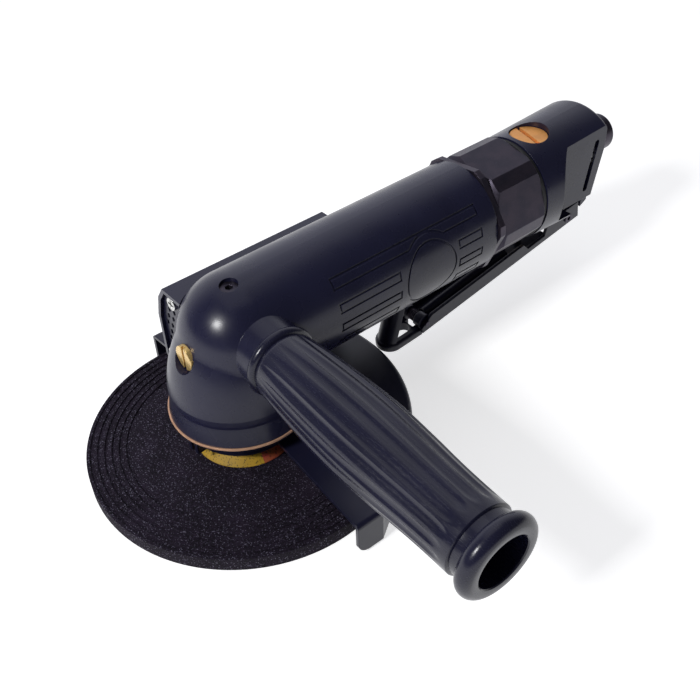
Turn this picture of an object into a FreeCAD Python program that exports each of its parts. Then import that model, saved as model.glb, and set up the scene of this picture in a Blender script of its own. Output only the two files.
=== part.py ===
import FreeCAD, Part
import math
import os

# Pneumatic angle grinder. Millimetres, +Z up.
# The origin is the centre of the spindle's free end, the spindle runs up +Z,
# the motor barrel runs back along +X, and the side grip points along -Y.

# Clearances shared by every fit
running_gap = 0.06
seat_gap = 0.03
body_gap = 0.30
overrun = 2.0

# Grinding wheel with a raised hub
wheel_radius = 62.5
wheel_thickness = 6.0
wheel_below_nose = 0.5
wheel_bore_radius = 11.15
hub_rise = 4.0
hub_thickness = 4.0
hub_flat_radius = 16.5
hub_foot_radius = 20.5
recess_flat_radius = 16.0
recess_foot_radius = 22.0
groove_count = 6
groove_width = 1.5
groove_depth = 0.5
groove_inner_radius = 45.5
label_radius = 20.1
label_thickness = 0.3

# Flanges that clamp the wheel
flange_radius = 16.0
flange_thickness = 3.8
pilot_depth = 3.0
nut_flange_radius = 15.6
nut_flange_thickness = 2.2
nut_boss_radius = 13.0
nut_boss_end = 0.9
nut_pin_hole_radius = 2.0
nut_pin_hole_circle = 10.2
nut_pin_hole_depth = 3.2
nut_pin_hole_count = 4

# Spindle
nose_radius = 7.0
nose_chamfer = 1.0
shoulder_radius = 9.2
lower_seat_radius = 7.5
gear_seat_radius = 7.0
upper_shaft_radius = 5.0
upper_seat_radius = 4.0
gear_back_gap = 1.44
gear_mount_distance = 18.8
gear_shoulder_drop = 8.8
shaft_step = 2.0
spindle_flat_across = 14.0
spindle_flat_height = 4.5

# Spindle bearings
lower_bearing_radius = 17.5
lower_bearing_width = 11.0
upper_bearing_radius = 11.0
upper_bearing_width = 7.0
upper_bearing_rise = 10.0
ring_wall_share = 0.26
ball_share = 0.60
lower_ball_count = 8
upper_ball_count = 7

# Bevel gear pair
module_size = 1.7
gear_teeth = 20
pinion_teeth = 12
pressure_angle = 20.0
face_width = 6.0
tooth_backlash = 0.30
addendum_share = 0.92
dedendum_share = 1.22
tooth_root_share = 0.35
flank_steps = 4
gear_hub_radius = 12.5
pinion_hub_length = 2.4
pinion_hub_radius = 8.6
key_width = 3.0
key_height = 3.0
key_length = 7.0

# Head and barrel, one casting
barrel_radius = 22.9
barrel_end = 113.7
dome_centre = 4.0
base_radius = 26.2
base_foot_inset = 1.3
base_ring_rise = 9.0
base_ring_round = 9.0
column_shoulder_run = 2.8
column_mid_radius = 22.9
column_mid_drop = 5.4
column_top_radius = 16.2
column_top_rise = 7.6
crease_least_size = 1.2
head_round = 10.0
gear_chamber_radius = 19.2
gear_chamber_drop = 5.2
throat_radius = 12.6
top_plug_x = 0.8
top_plug_y = -1.8
top_plug_radius = 3.4
top_plug_recess_depth = 1.6
top_plug_length = 4.0
top_plug_socket_radius = 1.5
top_plug_socket_depth = 2.0
front_plug_radius = 4.9
front_plug_recess_radius = 5.4
front_plug_face = -20.3
front_plug_recess_depth = 1.1
front_plug_length = 6.0
front_plug_slot_width = 1.4
front_plug_slot_depth = 1.2
motor_bore_radius = 19.0
motor_bore_start = 33.0
pinion_bore_radius = 13.0
pinion_bore_start = 20.4
exhaust_window_start = 47.0
exhaust_window_end = 61.0
exhaust_window_height = 15.0

# Engraved lines on the near side of the barrel
line_width = 0.8
line_depth = 0.45
badge_centre = 78.0
badge_radius = 13.0
badge_ring_radius = 15.0
panel_start = 33.0
panel_end = 105.4
panel_foot = 12.3
panel_top = 16.3
bar_height = 4.0
bar_pitch = 8.1
bar_top = 8.1
bar_row_count = 3
left_bar_end = 62.6
right_bar_start = 92.4

# Gear head gasket, bearing cap and spindle seal
gasket_lip = 1.6
gasket_thickness = 0.9
cap_flange_thickness = 2.6
cap_neck_radius = 18.6
cap_neck_length = 7.0
cap_bore_radius = 12.5
seal_thickness = 4.0

# Guard
guard_wheel_gap = 3.1
guard_sheet = 1.6
guard_skirt_depth = 15.2
guard_front_x = -3.0
guard_far_x = -1.3
guard_tab_reach = 6.8
guard_inner_x = 2.6
guard_corner_radius = 1.9
guard_ear_start_angle = -57.5
guard_tab_radius = 5.5
guard_collar_radius = 21.2
guard_collar_height = 5.2
guard_slit_width = 1.6
guard_slit_angle = 187.0
lug_length = 3.8
lug_thickness = 1.8
lug_height = 3.2
clamp_screw_radius = 1.2
clamp_screw_head_radius = 1.8
clamp_screw_head_length = 1.6
clamp_socket_radius = 0.9
clamp_socket_depth = 1.0

# Air motor
pinion_bearing_width = 8.0
rotor_shaft_radius = 5.0
rotor_tail_radius = 4.0
rotor_nose_start = 10.8
plate_shaft_gap = 0.25
retainer_width = 2.6
retainer_bore_radius = 8.0
retainer_slot_width = 1.6
front_plate_start = 34.2
front_plate_width = 10.6
front_bearing_radius = 11.0
front_bearing_width = 7.0
liner_width = 44.0
liner_bore_radius = 15.7
liner_offset = 1.5
rotor_radius = 13.9
rotor_end_gap = 0.25
vane_count = 5
vane_thickness = 2.0
vane_height = 7.6
vane_slot_depth = 8.2
rear_plate_width = 9.6
rear_bearing_radius = 9.5
rear_bearing_width = 6.0
motor_gasket_width = 1.4
liner_port_width = 1.5
liner_port_count = 5
liner_port_height = 10.0
plate_port_radius = 1.7
plate_port_circle = 15.2
plate_port_count = 3
plate_port_turn = 60.0
motor_ball_count = 7

# Lock plate, clamp nut and seal ring behind the barrel
lock_plate_gap = 0.2
lock_plate_thickness = 2.7
lock_plate_corner_radius = 24.3
lock_plate_corner_angle = 10.0
lock_plate_turn = 36.5
nut_gap = 0.4
nut_length = 24.8
nut_corner_radius = 23.4
nut_corner_angle = 14.5
nut_turn = 19.75
nut_front_chamfer = 1.8
nut_spigot_radius = 18.9
nut_spigot_start = 101.4
nut_bore_radius = 15.0
seal_ring_radius = 22.1
seal_ring_round = 0.45

# Throttle body
body_gap_behind_nut = 1.9
body_length = 44.1
body_flare = 1.6
end_bend_rise = 7.6
end_foot_run = 4.4
body_radius = 22.6
body_edge_round = 2.2
body_spigot_start = 104.0
spigot_bore_radius = 9.0
flat_inset = 8.0
flat_lead = 18.3
flat_run_out = 8.6
flat_foot_drop = 13.2
underside_lead = 21.3
valve_lead = 10.3
valve_bore_radius = 7.0
valve_plug_radius = 8.0
valve_plug_recess_radius = 8.3
valve_plug_top_rise = 20.8
valve_plug_thickness = 4.0
valve_plug_slot_width = 1.7
valve_plug_slot_depth = 1.4
valve_plug_turn = 15.0
valve_plug_thread_radius = 6.9
valve_chamber_drop = 11.4
inlet_rise = 5.0
inlet_bore_radius = 6.0
window_wall = 0.7
regulator_inset = 10.2
regulator_width = 5.2
regulator_hole_radius = 6.4
regulator_knurl_count = 36
knurl_depth = 0.4
window_half_length = 11.9
window_width = 2.8
window_lead = 2.65
window_lean = 10.0
window_rise = 2.3

# Air inlet
inlet_collar_radius = 8.1
inlet_collar_length = 15.2
inlet_thread_radius = 5.85
inlet_thread_length = 12.0
screen_thickness = 0.8
screen_hole_radius = 0.7
screen_ring_count = 2
screen_ring_pitch = 1.9
inlet_screen_radius = 5.5
inlet_way_radius = 4.6
screen_ring_hole_count = 6
inlet_edge_round = 0.4

# Valve train
seat_height = 3.4
seat_bore_radius = 3.2
poppet_radius = 4.6
poppet_thickness = 3.0
spring_wire = 0.9
spring_radius = 4.2
spring_turn_count = 6
stem_radius = 1.9
stem_bush_radius = 4.4
stem_tip_gap = 0.30

# Throttle lever
pivot_inset = 9.4
pivot_drop = 26.3
lever_slope = 9.4
lever_nose = 3.0
lever_half_width = 8.0
lever_sheet = 1.5
lever_flange_height = 6.4
lever_ear_height = 8.2
lever_ear_length = 12.8
lever_ear_tail = 7.0
lever_pivot_below_ear_top = 4.9
lever_flange_gap = 29.0
lever_low_flange = 2.6
bead_width = 5.6
bead_height = 2.2
bead_start = 34.0
pivot_pin_radius = 1.5
pin_head_radius = 2.2
pin_head_length = 0.7
pin_dimple_radius = 0.9
pin_dimple_depth = 1.6
lug_half_width = 6.0
lug_round = 4.8
heel_inset = 1.0
heel_length = 3.8
heel_half_width = 7.6
heel_foot_drop = 24.1
heel_bridge_drop = 18.2
heel_slope = 2.2

# Lock-off latch at the front of the lever
latch_length = 20.5
latch_pin_drop = 40.6
latch_pin_radius = 1.2
latch_half_width = 6.2
latch_guard_gap = 4.7
latch_ring_drop = 45.5
latch_ring_rim = 4.2
latch_ring_round = 1.3
latch_ring_lean = 4.0
latch_slot_half_width = 3.1
latch_ear_radius = 3.3
latch_prop_inset = 0.5
latch_prop_reach = 72.0
latch_prop_lean = 6.6
latch_prop_top_gap = 1.1
latch_prop_sheet = 1.8
latch_spring_wire = 0.7
latch_spring_radius = 2.2
latch_spring_turn_count = 4
latch_spring_half_width = 2.2

# Side grip
grip_base_x = 3.6
grip_base_rise = 2.8
grip_sweep = 1.50
grip_droop = 1.60
boss_root_radius = 13.4
boss_radius = 12.3
boss_start = 14.0
boss_end = 24.4
grip_ring_start = 24.5
grip_ring_radius = 13.2
grip_ring_crest = 26.0
grip_ring_end = 27.6
grip_neck_radius = 12.2
grip_neck_end = 28.3
grip_radii = (12.7, 14.4, 15.2, 14.5, 13.6, 13.0, 12.2)
grip_stations = (29.6, 50.0, 73.0, 90.0, 102.0, 111.0, 122.0)
grip_rim_radius = 15.1
grip_rim_start = 126.0
grip_length = 132.6
grip_rim_round = 2.6
grip_bore_radius = 9.7
grip_bore_floor = 41.0
grip_pocket_radius = 9.4
grip_pocket_end = 49.6
flute_count = 18
flute_radius = 2.6
flute_depth = 0.65
flute_phase = 2.0
bolt_radius = 5.0
bolt_start = 14.0
bolt_head_radius = 8.0
bolt_head_height = 6.4
bolt_socket_radius = 4.0
bolt_socket_depth = 4.0
bolt_washer_radius = 9.3
bolt_washer_thickness = 1.2

# Exhaust cover on the far side of the barrel
cover_front_x = -10.6
cover_rear_x = 64.6
cover_top_rise = 10.3
cover_bottom_drop = 27.0
cover_outer_y = 34.3
cover_shoulder_y = 27.2
cover_bend_y = 31.5
cover_bend_rise = 4.4
cover_shoulder_drop = 5.4
cover_wall = 1.7
cover_foot_chamfer = 1.8
cover_joint_gap = 0.30
cover_root_y = 12.0
cover_root_drop = 17.4
cover_foot_y = 21.0
screen_inset = 1.4
exhaust_screen_thickness = 1.1
screen_cell_pitch_y = 3.3
screen_cell_pitch_z = 3.9
screen_cell_width = 1.9
screen_cell_height = 3.0
screen_cell_lean = 25.0
screen_rim = 1.6
exhaust_screw_radius = 1.5
exhaust_screw_head_radius = 2.6
exhaust_screw_head_height = 1.3
exhaust_screw_length = 9.0
cross_slot_width = 0.8
cross_slot_depth = 0.7
cross_slot_reach = 2.0
screw_boss_radius = 3.4
upper_screw_y = 22.4
upper_screw_rise = 5.8
lower_screw_y = 29.4
lower_screw_drop = 22.6


def vec(x, y, z):
    return FreeCAD.Vector(x, y, z)


AXIS_X = vec(1, 0, 0)
AXIS_Y = vec(0, 1, 0)
AXIS_Z = vec(0, 0, 1)

# Places worked out from the sizes above
base_foot_radius = base_radius - base_foot_inset
gasket_radius = base_radius + gasket_lip
guard_radius = wheel_radius + guard_wheel_gap
guard_tab_y = -guard_radius - guard_tab_reach
lock_plate_start = barrel_end + lock_plate_gap
nut_start = lock_plate_start + lock_plate_thickness + nut_gap
nut_end = nut_start + nut_length
body_start = nut_end + body_gap_behind_nut
body_end = body_start + body_length
body_end_radius = body_radius + body_flare
end_foot_x = body_end - end_foot_run
flat_start = body_start + flat_lead
flat_half_width = body_radius - flat_inset
underside_start = body_start + underside_lead
valve_x = body_start + valve_lead
regulator_start = body_end - regulator_inset
regulator_bore_radius = flat_half_width - window_wall
regulator_radius = regulator_bore_radius - body_gap
window_x = regulator_start + window_lead
inlet_end = body_end + inlet_collar_length
pivot_x = body_end - pivot_inset
heel_start = body_end - heel_inset
heel_end = heel_start + heel_length
latch_front_x = guard_radius + latch_guard_gap
latch_pin_x = latch_front_x + latch_length
lever_front_x = latch_pin_x - lever_nose
wheel_top = wheel_thickness - wheel_below_nose
hub_top = wheel_top + hub_rise
hub_underside = hub_top - hub_thickness
flange_foot = hub_top + label_thickness
flange_top = flange_foot + flange_thickness
guard_plate_height = flange_top
cap_flange_foot = flange_top + cap_neck_length
gasket_foot = cap_flange_foot + cap_flange_thickness
head_base_height = gasket_foot + gasket_thickness
lower_bearing_foot = head_base_height + 2 * seat_gap
lower_bearing_top = lower_bearing_foot + lower_bearing_width
gear_back_height = lower_bearing_top + gear_back_gap
barrel_axis_height = gear_back_height + gear_mount_distance
base_ring_height = head_base_height + base_ring_rise
column_shoulder_height = base_ring_height + column_shoulder_run
gear_shoulder_height = barrel_axis_height - gear_shoulder_drop
upper_bearing_height = barrel_axis_height + upper_bearing_rise
column_mid_height = barrel_axis_height - column_mid_drop
column_top_height = barrel_axis_height + column_top_rise
gear_chamber_top = barrel_axis_height - gear_chamber_drop
end_bend_height = barrel_axis_height + end_bend_rise
flat_foot_height = barrel_axis_height - flat_foot_drop
valve_plug_top_height = barrel_axis_height + valve_plug_top_rise
valve_chamber_floor = barrel_axis_height - valve_chamber_drop
window_height = barrel_axis_height + window_rise
pivot_height = barrel_axis_height - pivot_drop
heel_foot_height = barrel_axis_height - heel_foot_drop
heel_bridge_height = barrel_axis_height - heel_bridge_drop
latch_pin_height = barrel_axis_height - latch_pin_drop
latch_ring_height = barrel_axis_height - latch_ring_drop
grip_base_height = barrel_axis_height + grip_base_rise
cover_top_height = barrel_axis_height + cover_top_rise
cover_bend_height = barrel_axis_height + cover_bend_rise
cover_shoulder_height = barrel_axis_height - cover_shoulder_drop
cover_root_height = barrel_axis_height - cover_root_drop
cover_bottom_height = barrel_axis_height - cover_bottom_drop
upper_screw_height = barrel_axis_height + upper_screw_rise
lower_screw_height = barrel_axis_height - lower_screw_drop
gear_pitch_radius = module_size * gear_teeth / 2
pinion_pitch_radius = module_size * pinion_teeth / 2
cone_distance = math.hypot(gear_pitch_radius, pinion_pitch_radius)
gear_cone = math.atan2(gear_pitch_radius, pinion_pitch_radius)
pinion_cone = math.atan2(pinion_pitch_radius, gear_pitch_radius)
front_plate_end = front_plate_start + front_plate_width
liner_start = front_plate_end
liner_end = liner_start + liner_width
rear_plate_end = liner_end + rear_plate_width
motor_gasket_end = rear_plate_end + motor_gasket_width
inlet_axis_height = barrel_axis_height + inlet_rise
barrel_underside = barrel_axis_height - barrel_radius


def save(name, shape):
    shape.exportStep("parts/" + name + ".step")


def cylinder(radius, start, end, axis=AXIS_Z, centre=None):
    """A solid cylinder along an axis, from one station to another."""
    centre = centre or vec(0, 0, 0)
    return Part.makeCylinder(radius, end - start, centre + axis * start, axis)


def tube(outer, inner, start, end, axis=AXIS_Z, centre=None):
    body = cylinder(outer, start, end, axis, centre)
    step = overrun
    return body.cut(cylinder(inner, start - step, end + step, axis, centre))


def block(x_low, x_high, y_low, y_high, z_low, z_high):
    corner = vec(x_low, y_low, z_low)
    return Part.makeBox(x_high - x_low, y_high - y_low, z_high - z_low, corner)


def turned(outline):
    """A solid of revolution about the local Z axis from (radius, station) points."""
    points = [vec(r, 0, s) for r, s in outline]
    wire = Part.makePolygon(points + [points[0]])
    return Part.Face(wire).revolve(vec(0, 0, 0), AXIS_Z, 360)


def prism(outline, axis_from, axis_to, plane="xz"):
    """A flat outline pushed along the axis that is square to its plane."""
    if plane == "xz":
        points = [vec(a, axis_from, b) for a, b in outline]
        push = vec(0, axis_to - axis_from, 0)
    elif plane == "yz":
        points = [vec(axis_from, a, b) for a, b in outline]
        push = vec(axis_to - axis_from, 0, 0)
    else:
        points = [vec(a, b, axis_from) for a, b in outline]
        push = vec(0, 0, axis_to - axis_from)
    return Part.Face(Part.makePolygon(points + [points[0]])).extrude(push)


def placed(shape, base, rotation):
    moved = shape.copy()
    moved.Placement = FreeCAD.Placement(base, rotation).multiply(shape.Placement)
    return moved


def on_barrel(shape, height=barrel_axis_height):
    """Lay a piece made about local Z on the barrel axis, its stations along +X."""
    return placed(shape, vec(0, 0, height), FreeCAD.Rotation(AXIS_Y, 90))


grip_direction = vec(-math.tan(math.radians(grip_sweep)), -1, -math.tan(math.radians(grip_droop)))
grip_direction.normalize()
grip_base = vec(grip_base_x, 0, grip_base_height)


def on_grip(shape):
    """Lay a piece made about local Z on the side grip's axis, stations outward."""
    return placed(shape, grip_base, FreeCAD.Rotation(AXIS_Z, grip_direction))


def spun(shape, count, axis=AXIS_Z, centre=None, start_angle=0.0):
    """Copies of a piece spread evenly round an axis."""
    centre = centre or vec(0, 0, 0)
    copies = []
    for index in range(count):
        copy = shape.copy()
        copy.rotate(centre, axis, start_angle + index * 360.0 / count)
        copies.append(copy)
    return copies


def fused(pieces):
    whole = pieces[0]
    if len(pieces) > 1:
        whole = whole.multiFuse(pieces[1:])
    return whole.removeSplitter()


def rounded_edges(shape, radius, keep):
    """Round the edges that a test picks."""
    return shape.makeFillet(radius, [edge for edge in shape.Edges if keep(edge)])


def ball_bearing(outer, inner, start, end, balls):
    """Outer ring, inner ring and balls as loose solids about local Z."""
    wall = (outer - inner) * ring_wall_share
    middle = (outer + inner) / 2
    width = end - start
    ball = min(width, outer - inner) * ball_share / 2
    groove = Part.makeTorus(middle, ball + seat_gap, vec(0, 0, start + width / 2))
    outer_ring = tube(outer, outer - wall, start, end).cut(groove)
    inner_ring = tube(inner + wall, inner, start, end).cut(groove)
    sphere = Part.makeSphere(ball, vec(middle, 0, start + width / 2))
    return Part.makeCompound([outer_ring, inner_ring] + spun(sphere, balls))


def spring(wire, radius, start, end, turns):
    """One unbroken coil about local Z, swept a turn at a time."""
    pitch = (end - start - wire) / turns
    path = Part.makeHelix(pitch, pitch, radius)
    centre = vec(radius, 0, 0)
    ring = Part.Wire(Part.Circle(centre, AXIS_Y, wire / 2).toShape())
    turn = Part.Wire(path).makePipeShell([ring], True, True)
    coils = []
    for index in range(turns):
        copy = turn.copy()
        copy.translate(vec(0, 0, start + wire / 2 + pitch * index))
        coils.append(copy)
    return coils[0].multiFuse(coils[1:])


def wheel_profile():
    """Half section of the grinding wheel, radius against height."""
    foot = -wheel_below_nose
    outline = [
        (wheel_bore_radius, hub_underside),
        (recess_flat_radius, hub_underside),
        (recess_foot_radius, foot),
        (wheel_radius, foot),
        (wheel_radius, wheel_top),
    ]
    pitch = (wheel_radius - groove_inner_radius) / groove_count
    floor = wheel_top - groove_depth
    for index in reversed(range(groove_count)):
        inner = groove_inner_radius + pitch * index
        outer = inner + groove_width
        outline += [(outer, wheel_top), (outer, floor), (inner, floor), (inner, wheel_top)]
    return outline + [
        (hub_foot_radius, wheel_top),
        (hub_flat_radius, hub_top),
        (wheel_bore_radius, hub_top),
    ]


def make_label():
    """Paper disc on the raised hub, following its slope."""
    run_share = (label_radius - hub_flat_radius) / (hub_foot_radius - hub_flat_radius)
    edge_height = hub_top - hub_rise * run_share
    top = label_thickness
    return turned([
        (wheel_bore_radius, hub_top),
        (hub_flat_radius, hub_top),
        (label_radius, edge_height),
        (label_radius, edge_height + top),
        (hub_flat_radius, hub_top + top),
        (wheel_bore_radius, hub_top + top),
    ])


def make_inner_flange():
    bore = nose_radius + seat_gap
    pilot = wheel_bore_radius - seat_gap
    plate = tube(flange_radius, bore, flange_foot, flange_top)
    spigot = tube(pilot, bore, flange_foot - label_thickness - pilot_depth, flange_foot)
    return fused([plate, spigot])


def make_flange_nut():
    bore = nose_radius + seat_gap
    plate = tube(nut_flange_radius, bore, hub_underside - nut_flange_thickness, hub_underside)
    boss = tube(nut_boss_radius, bore, nut_boss_end, hub_underside)
    nut = fused([plate, boss])
    pin = cylinder(nut_pin_hole_radius, -overrun, nut_boss_end + nut_pin_hole_depth)
    pin.translate(vec(nut_pin_hole_circle, 0, 0))
    return nut.cut(Part.makeCompound(spun(pin, nut_pin_hole_count)))


def make_spindle():
    spindle = turned([
        (0, 0),
        (nose_radius - nose_chamfer, 0),
        (nose_radius, nose_chamfer),
        (nose_radius, flange_top),
        (shoulder_radius, flange_top),
        (shoulder_radius, lower_bearing_foot),
        (lower_seat_radius, lower_bearing_foot),
        (lower_seat_radius, lower_bearing_top),
        (gear_seat_radius, lower_bearing_top),
        (gear_seat_radius, gear_shoulder_height),
        (upper_shaft_radius, gear_shoulder_height + shaft_step),
        (upper_shaft_radius, upper_bearing_height),
        (upper_seat_radius, upper_bearing_height),
        (upper_seat_radius, upper_bearing_height + upper_bearing_width),
        (0, upper_bearing_height + upper_bearing_width),
    ])
    half = spindle_flat_across / 2
    reach = shoulder_radius + overrun
    for side in (1, -1):
        low = min(side * half, side * reach)
        high = max(side * half, side * reach)
        flat = block(-reach, reach, low, high, flange_top, flange_top + spindle_flat_height)
        spindle = spindle.cut(flat)
    return spindle.cut(gear_key_block(seat_gap))


def gear_key_block(extra=0.0):
    foot = gear_back_height + face_width / 2 - key_length / 2
    half = key_width / 2 + extra
    deep = gear_seat_radius - key_height / 2 - extra
    return block(deep, gear_seat_radius + key_height / 2 + extra, -half, half, foot, foot + key_length)


def tooth_section(pitch_radius, cone, teeth, scale):
    """Tooth outline on the back cone, as (height, side) pairs at one end of the face."""
    virtual_radius = pitch_radius / math.cos(cone)
    virtual_teeth = teeth / math.cos(cone)
    base_radius_here = virtual_radius * math.cos(math.radians(pressure_angle))
    alpha = math.radians(pressure_angle)
    start_angle = math.pi / (2 * virtual_teeth) - tooth_backlash / (2 * virtual_radius)
    start_angle += math.tan(alpha) - alpha
    root = virtual_radius - dedendum_share * module_size
    tip = virtual_radius + addendum_share * module_size
    sunk = root - tooth_root_share * module_size
    flank = []
    for step in range(flank_steps + 1):
        radius = root + (tip - root) * step / flank_steps
        roll = math.acos(min(1.0, base_radius_here / radius))
        flank.append((radius, start_angle - (math.tan(roll) - roll)))
    flank = [(sunk, flank[0][1])] + flank
    left = [(r * math.cos(a) - virtual_radius, r * math.sin(a)) for r, a in flank]
    right = [(height, -side) for height, side in reversed(left)]
    return [(height * scale, side * scale) for height, side in left + right]


def bevel_teeth(pitch_radius, cone, teeth):
    """All teeth about local Z with the cone's apex at the origin, opening along +Z."""
    inner_scale = (cone_distance - face_width) / cone_distance
    wires = []
    for scale in (1.0, inner_scale):
        centre = vec(math.sin(cone), 0, math.cos(cone)) * (cone_distance * scale)
        outward = vec(math.cos(cone), 0, -math.sin(cone))
        section = tooth_section(pitch_radius, cone, teeth, scale)
        points = [centre + outward * height + AXIS_Y * side for height, side in section]
        wires.append(Part.makePolygon(points + [points[0]]))
    tooth = Part.makeLoft(wires, True, True)
    return spun(tooth, teeth)


def gear_blank(cone, hub_radius, hub_station, bore):
    """Root cone and hub of a bevel gear, apex at the origin, opening along +Z."""
    inner = cone_distance - face_width
    root_drop_share = dedendum_share * module_size / cone_distance
    outline = []
    for distance in (inner, cone_distance):
        drop = distance * root_drop_share
        radius = distance * math.sin(cone) - drop * math.cos(cone)
        station = distance * math.cos(cone) + drop * math.sin(cone)
        outline.append((radius, station))
    outline.append((hub_radius, hub_station))
    outline.append((bore, hub_station))
    outline.append((bore, outline[0][1]))
    return turned(outline)


def make_driven_gear():
    hub_station = barrel_axis_height - gear_back_height
    blank = gear_blank(gear_cone, gear_hub_radius, hub_station, gear_seat_radius + seat_gap)
    gear = fused([blank] + bevel_teeth(gear_pitch_radius, gear_cone, gear_teeth))
    gear = placed(gear, vec(0, 0, barrel_axis_height), FreeCAD.Rotation(AXIS_X, 180))
    gear = gear.cut(cylinder(gear_seat_radius + seat_gap, 0, barrel_axis_height))
    return gear.cut(gear_key_block(seat_gap))


def make_pinion():
    back = cone_distance * math.cos(pinion_cone) + pinion_hub_length
    blank = gear_blank(pinion_cone, pinion_hub_radius, back, rotor_tail_radius + seat_gap)
    pinion = fused([blank] + bevel_teeth(pinion_pitch_radius, pinion_cone, pinion_teeth))
    pinion = pinion.cut(cylinder(rotor_tail_radius + seat_gap, 0, back + overrun))
    pinion.rotate(vec(0, 0, 0), AXIS_Z, 180.0 / pinion_teeth)
    return on_barrel(pinion)


def column_outline(extra):
    """Half section of the gear head's upright part, grown by a clearance."""
    return [
        (0, head_base_height - extra),
        (base_foot_radius + extra, head_base_height - extra),
        (base_radius + extra, base_ring_height),
        (base_radius + extra, column_shoulder_height),
    ]


def make_column(extra):
    """Upright part of the gear head with its curved shoulder."""
    lower = [vec(r, 0, s) for r, s in column_outline(extra)]
    shoulder = vec(base_radius + extra, 0, column_shoulder_height)
    middle = vec(column_mid_radius + extra, 0, column_mid_height)
    top = vec(column_top_radius + extra, 0, column_top_height)
    crown = vec(0, 0, column_top_height)
    edges = [Part.makeLine(a, b) for a, b in zip(lower, lower[1:])]
    edges.append(Part.Arc(shoulder, middle, top).toShape())
    edges.append(Part.makeLine(top, crown))
    edges.append(Part.makeLine(crown, lower[0]))
    column = Part.Face(Part.Wire(edges)).revolve(vec(0, 0, 0), AXIS_Z, 360)
    return rounded_edges(column, base_ring_round, lambda edge: is_ring_at(edge, (base_ring_height,)))


def is_ring_at(edge, heights):
    """True for a level ring edge at one of the given heights."""
    box = edge.BoundBox
    level = box.ZMax - box.ZMin < seat_gap
    return level and any(abs(box.ZMax - height) < seat_gap for height in heights)


def head_outside(extra=0.0):
    """Outer shape of the casting before its crease is rounded, grown by a clearance."""
    radius = barrel_radius + extra
    centre = vec(0, 0, barrel_axis_height)
    barrel = cylinder(radius, dome_centre, barrel_end, AXIS_X, centre)
    dome = Part.makeSphere(radius, centre + AXIS_X * dome_centre)
    return fused([make_column(extra), barrel, dome])


def is_head_crease(edge):
    """True for the line where the upright column runs into the dome and barrel."""
    box = edge.BoundBox
    middle = edge.valueAt((edge.FirstParameter + edge.LastParameter) / 2)
    inside = box.ZMin > column_shoulder_height - seat_gap and box.ZMax < column_top_height
    seam = abs(middle.y) < seat_gap and box.YMax - box.YMin < crease_least_size
    return inside and box.ZMax - box.ZMin > crease_least_size and box.XMax < base_radius and not seam


def bar_block(start, end, foot, top, inset=0.0):
    """Upright block that cuts one bar outline out of the barrel's near side."""
    low = barrel_axis_height + foot + inset
    high = barrel_axis_height + top - inset
    return block(start + inset, end - inset, -barrel_radius - overrun, 0, low, high)


def near_side_disc(radius):
    centre = vec(badge_centre, 0, barrel_axis_height)
    return cylinder(radius, -barrel_radius - overrun, 0, AXIS_Y, centre)


def engraved_lines():
    """Line art on the barrel's near side: a round blank badge and plain bars."""
    lines = [near_side_disc(badge_radius).cut(near_side_disc(badge_radius - line_width))]
    panel = bar_block(panel_start, panel_end, panel_foot, panel_top)
    panel = panel.cut(near_side_disc(badge_ring_radius))
    inner = bar_block(panel_start, panel_end, panel_foot, panel_top, line_width)
    inner = inner.cut(near_side_disc(badge_ring_radius + line_width))
    lines.append(panel.cut(inner))
    for row in range(bar_row_count):
        top = bar_top - bar_pitch * row
        for start, end in ((panel_start, left_bar_end), (right_bar_start, panel_end)):
            outer = bar_block(start, end, top - bar_height, top)
            inner = bar_block(start, end, top - bar_height, top, line_width)
            lines.append(outer.cut(inner))
    skin = on_barrel(tube(barrel_radius + overrun, barrel_radius - line_depth, 0, barrel_end))
    return Part.makeCompound([line.common(skin) for line in lines])


def housing_hollow():
    """Everything bored out of the casting."""
    centre = vec(0, 0, barrel_axis_height)
    lower_seat = cylinder(lower_bearing_radius + seat_gap, -overrun, lower_bearing_top + 2 * seat_gap)
    chamber = cylinder(gear_chamber_radius, lower_bearing_top, gear_chamber_top)
    throat = cylinder(throat_radius, gear_chamber_top - overrun, upper_bearing_height - overrun)
    pocket_top = upper_bearing_height + upper_bearing_width + 2 * seat_gap
    pocket = cylinder(upper_bearing_radius + seat_gap, upper_bearing_height - 2 * overrun, pocket_top)
    pinion_way = cylinder(throat_radius, 0, pinion_bore_start + overrun, AXIS_X, centre)
    pinion_seat = cylinder(pinion_bore_radius + seat_gap, pinion_bore_start, barrel_end, AXIS_X, centre)
    motor = cylinder(motor_bore_radius, motor_bore_start, barrel_end + overrun, AXIS_X, centre)
    half = exhaust_window_height / 2
    low = barrel_axis_height - half
    high = barrel_axis_height + half
    window = block(exhaust_window_start, exhaust_window_end, 0, barrel_radius + overrun, low, high)
    return [lower_seat, chamber, throat, pocket, pinion_way, pinion_seat, motor, window]


def plug_seats():
    """Recesses of the top screw, the front plug and the grip's bolt."""
    top = barrel_axis_height + barrel_radius
    foot = top - top_plug_recess_depth - top_plug_length
    recess = cylinder(top_plug_radius + seat_gap, foot, top + overrun, centre=vec(top_plug_x, top_plug_y, 0))
    centre = vec(0, 0, barrel_axis_height)
    deep = front_plug_face + front_plug_recess_depth
    dish = cylinder(front_plug_recess_radius, -base_radius, deep, AXIS_X, centre)
    hole = cylinder(front_plug_radius, deep - overrun, deep + front_plug_length, AXIS_X, centre)
    bolt = on_grip(cylinder(bolt_radius + seat_gap, bolt_start, boss_end + overrun))
    return [recess, dish, hole, bolt]


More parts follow.
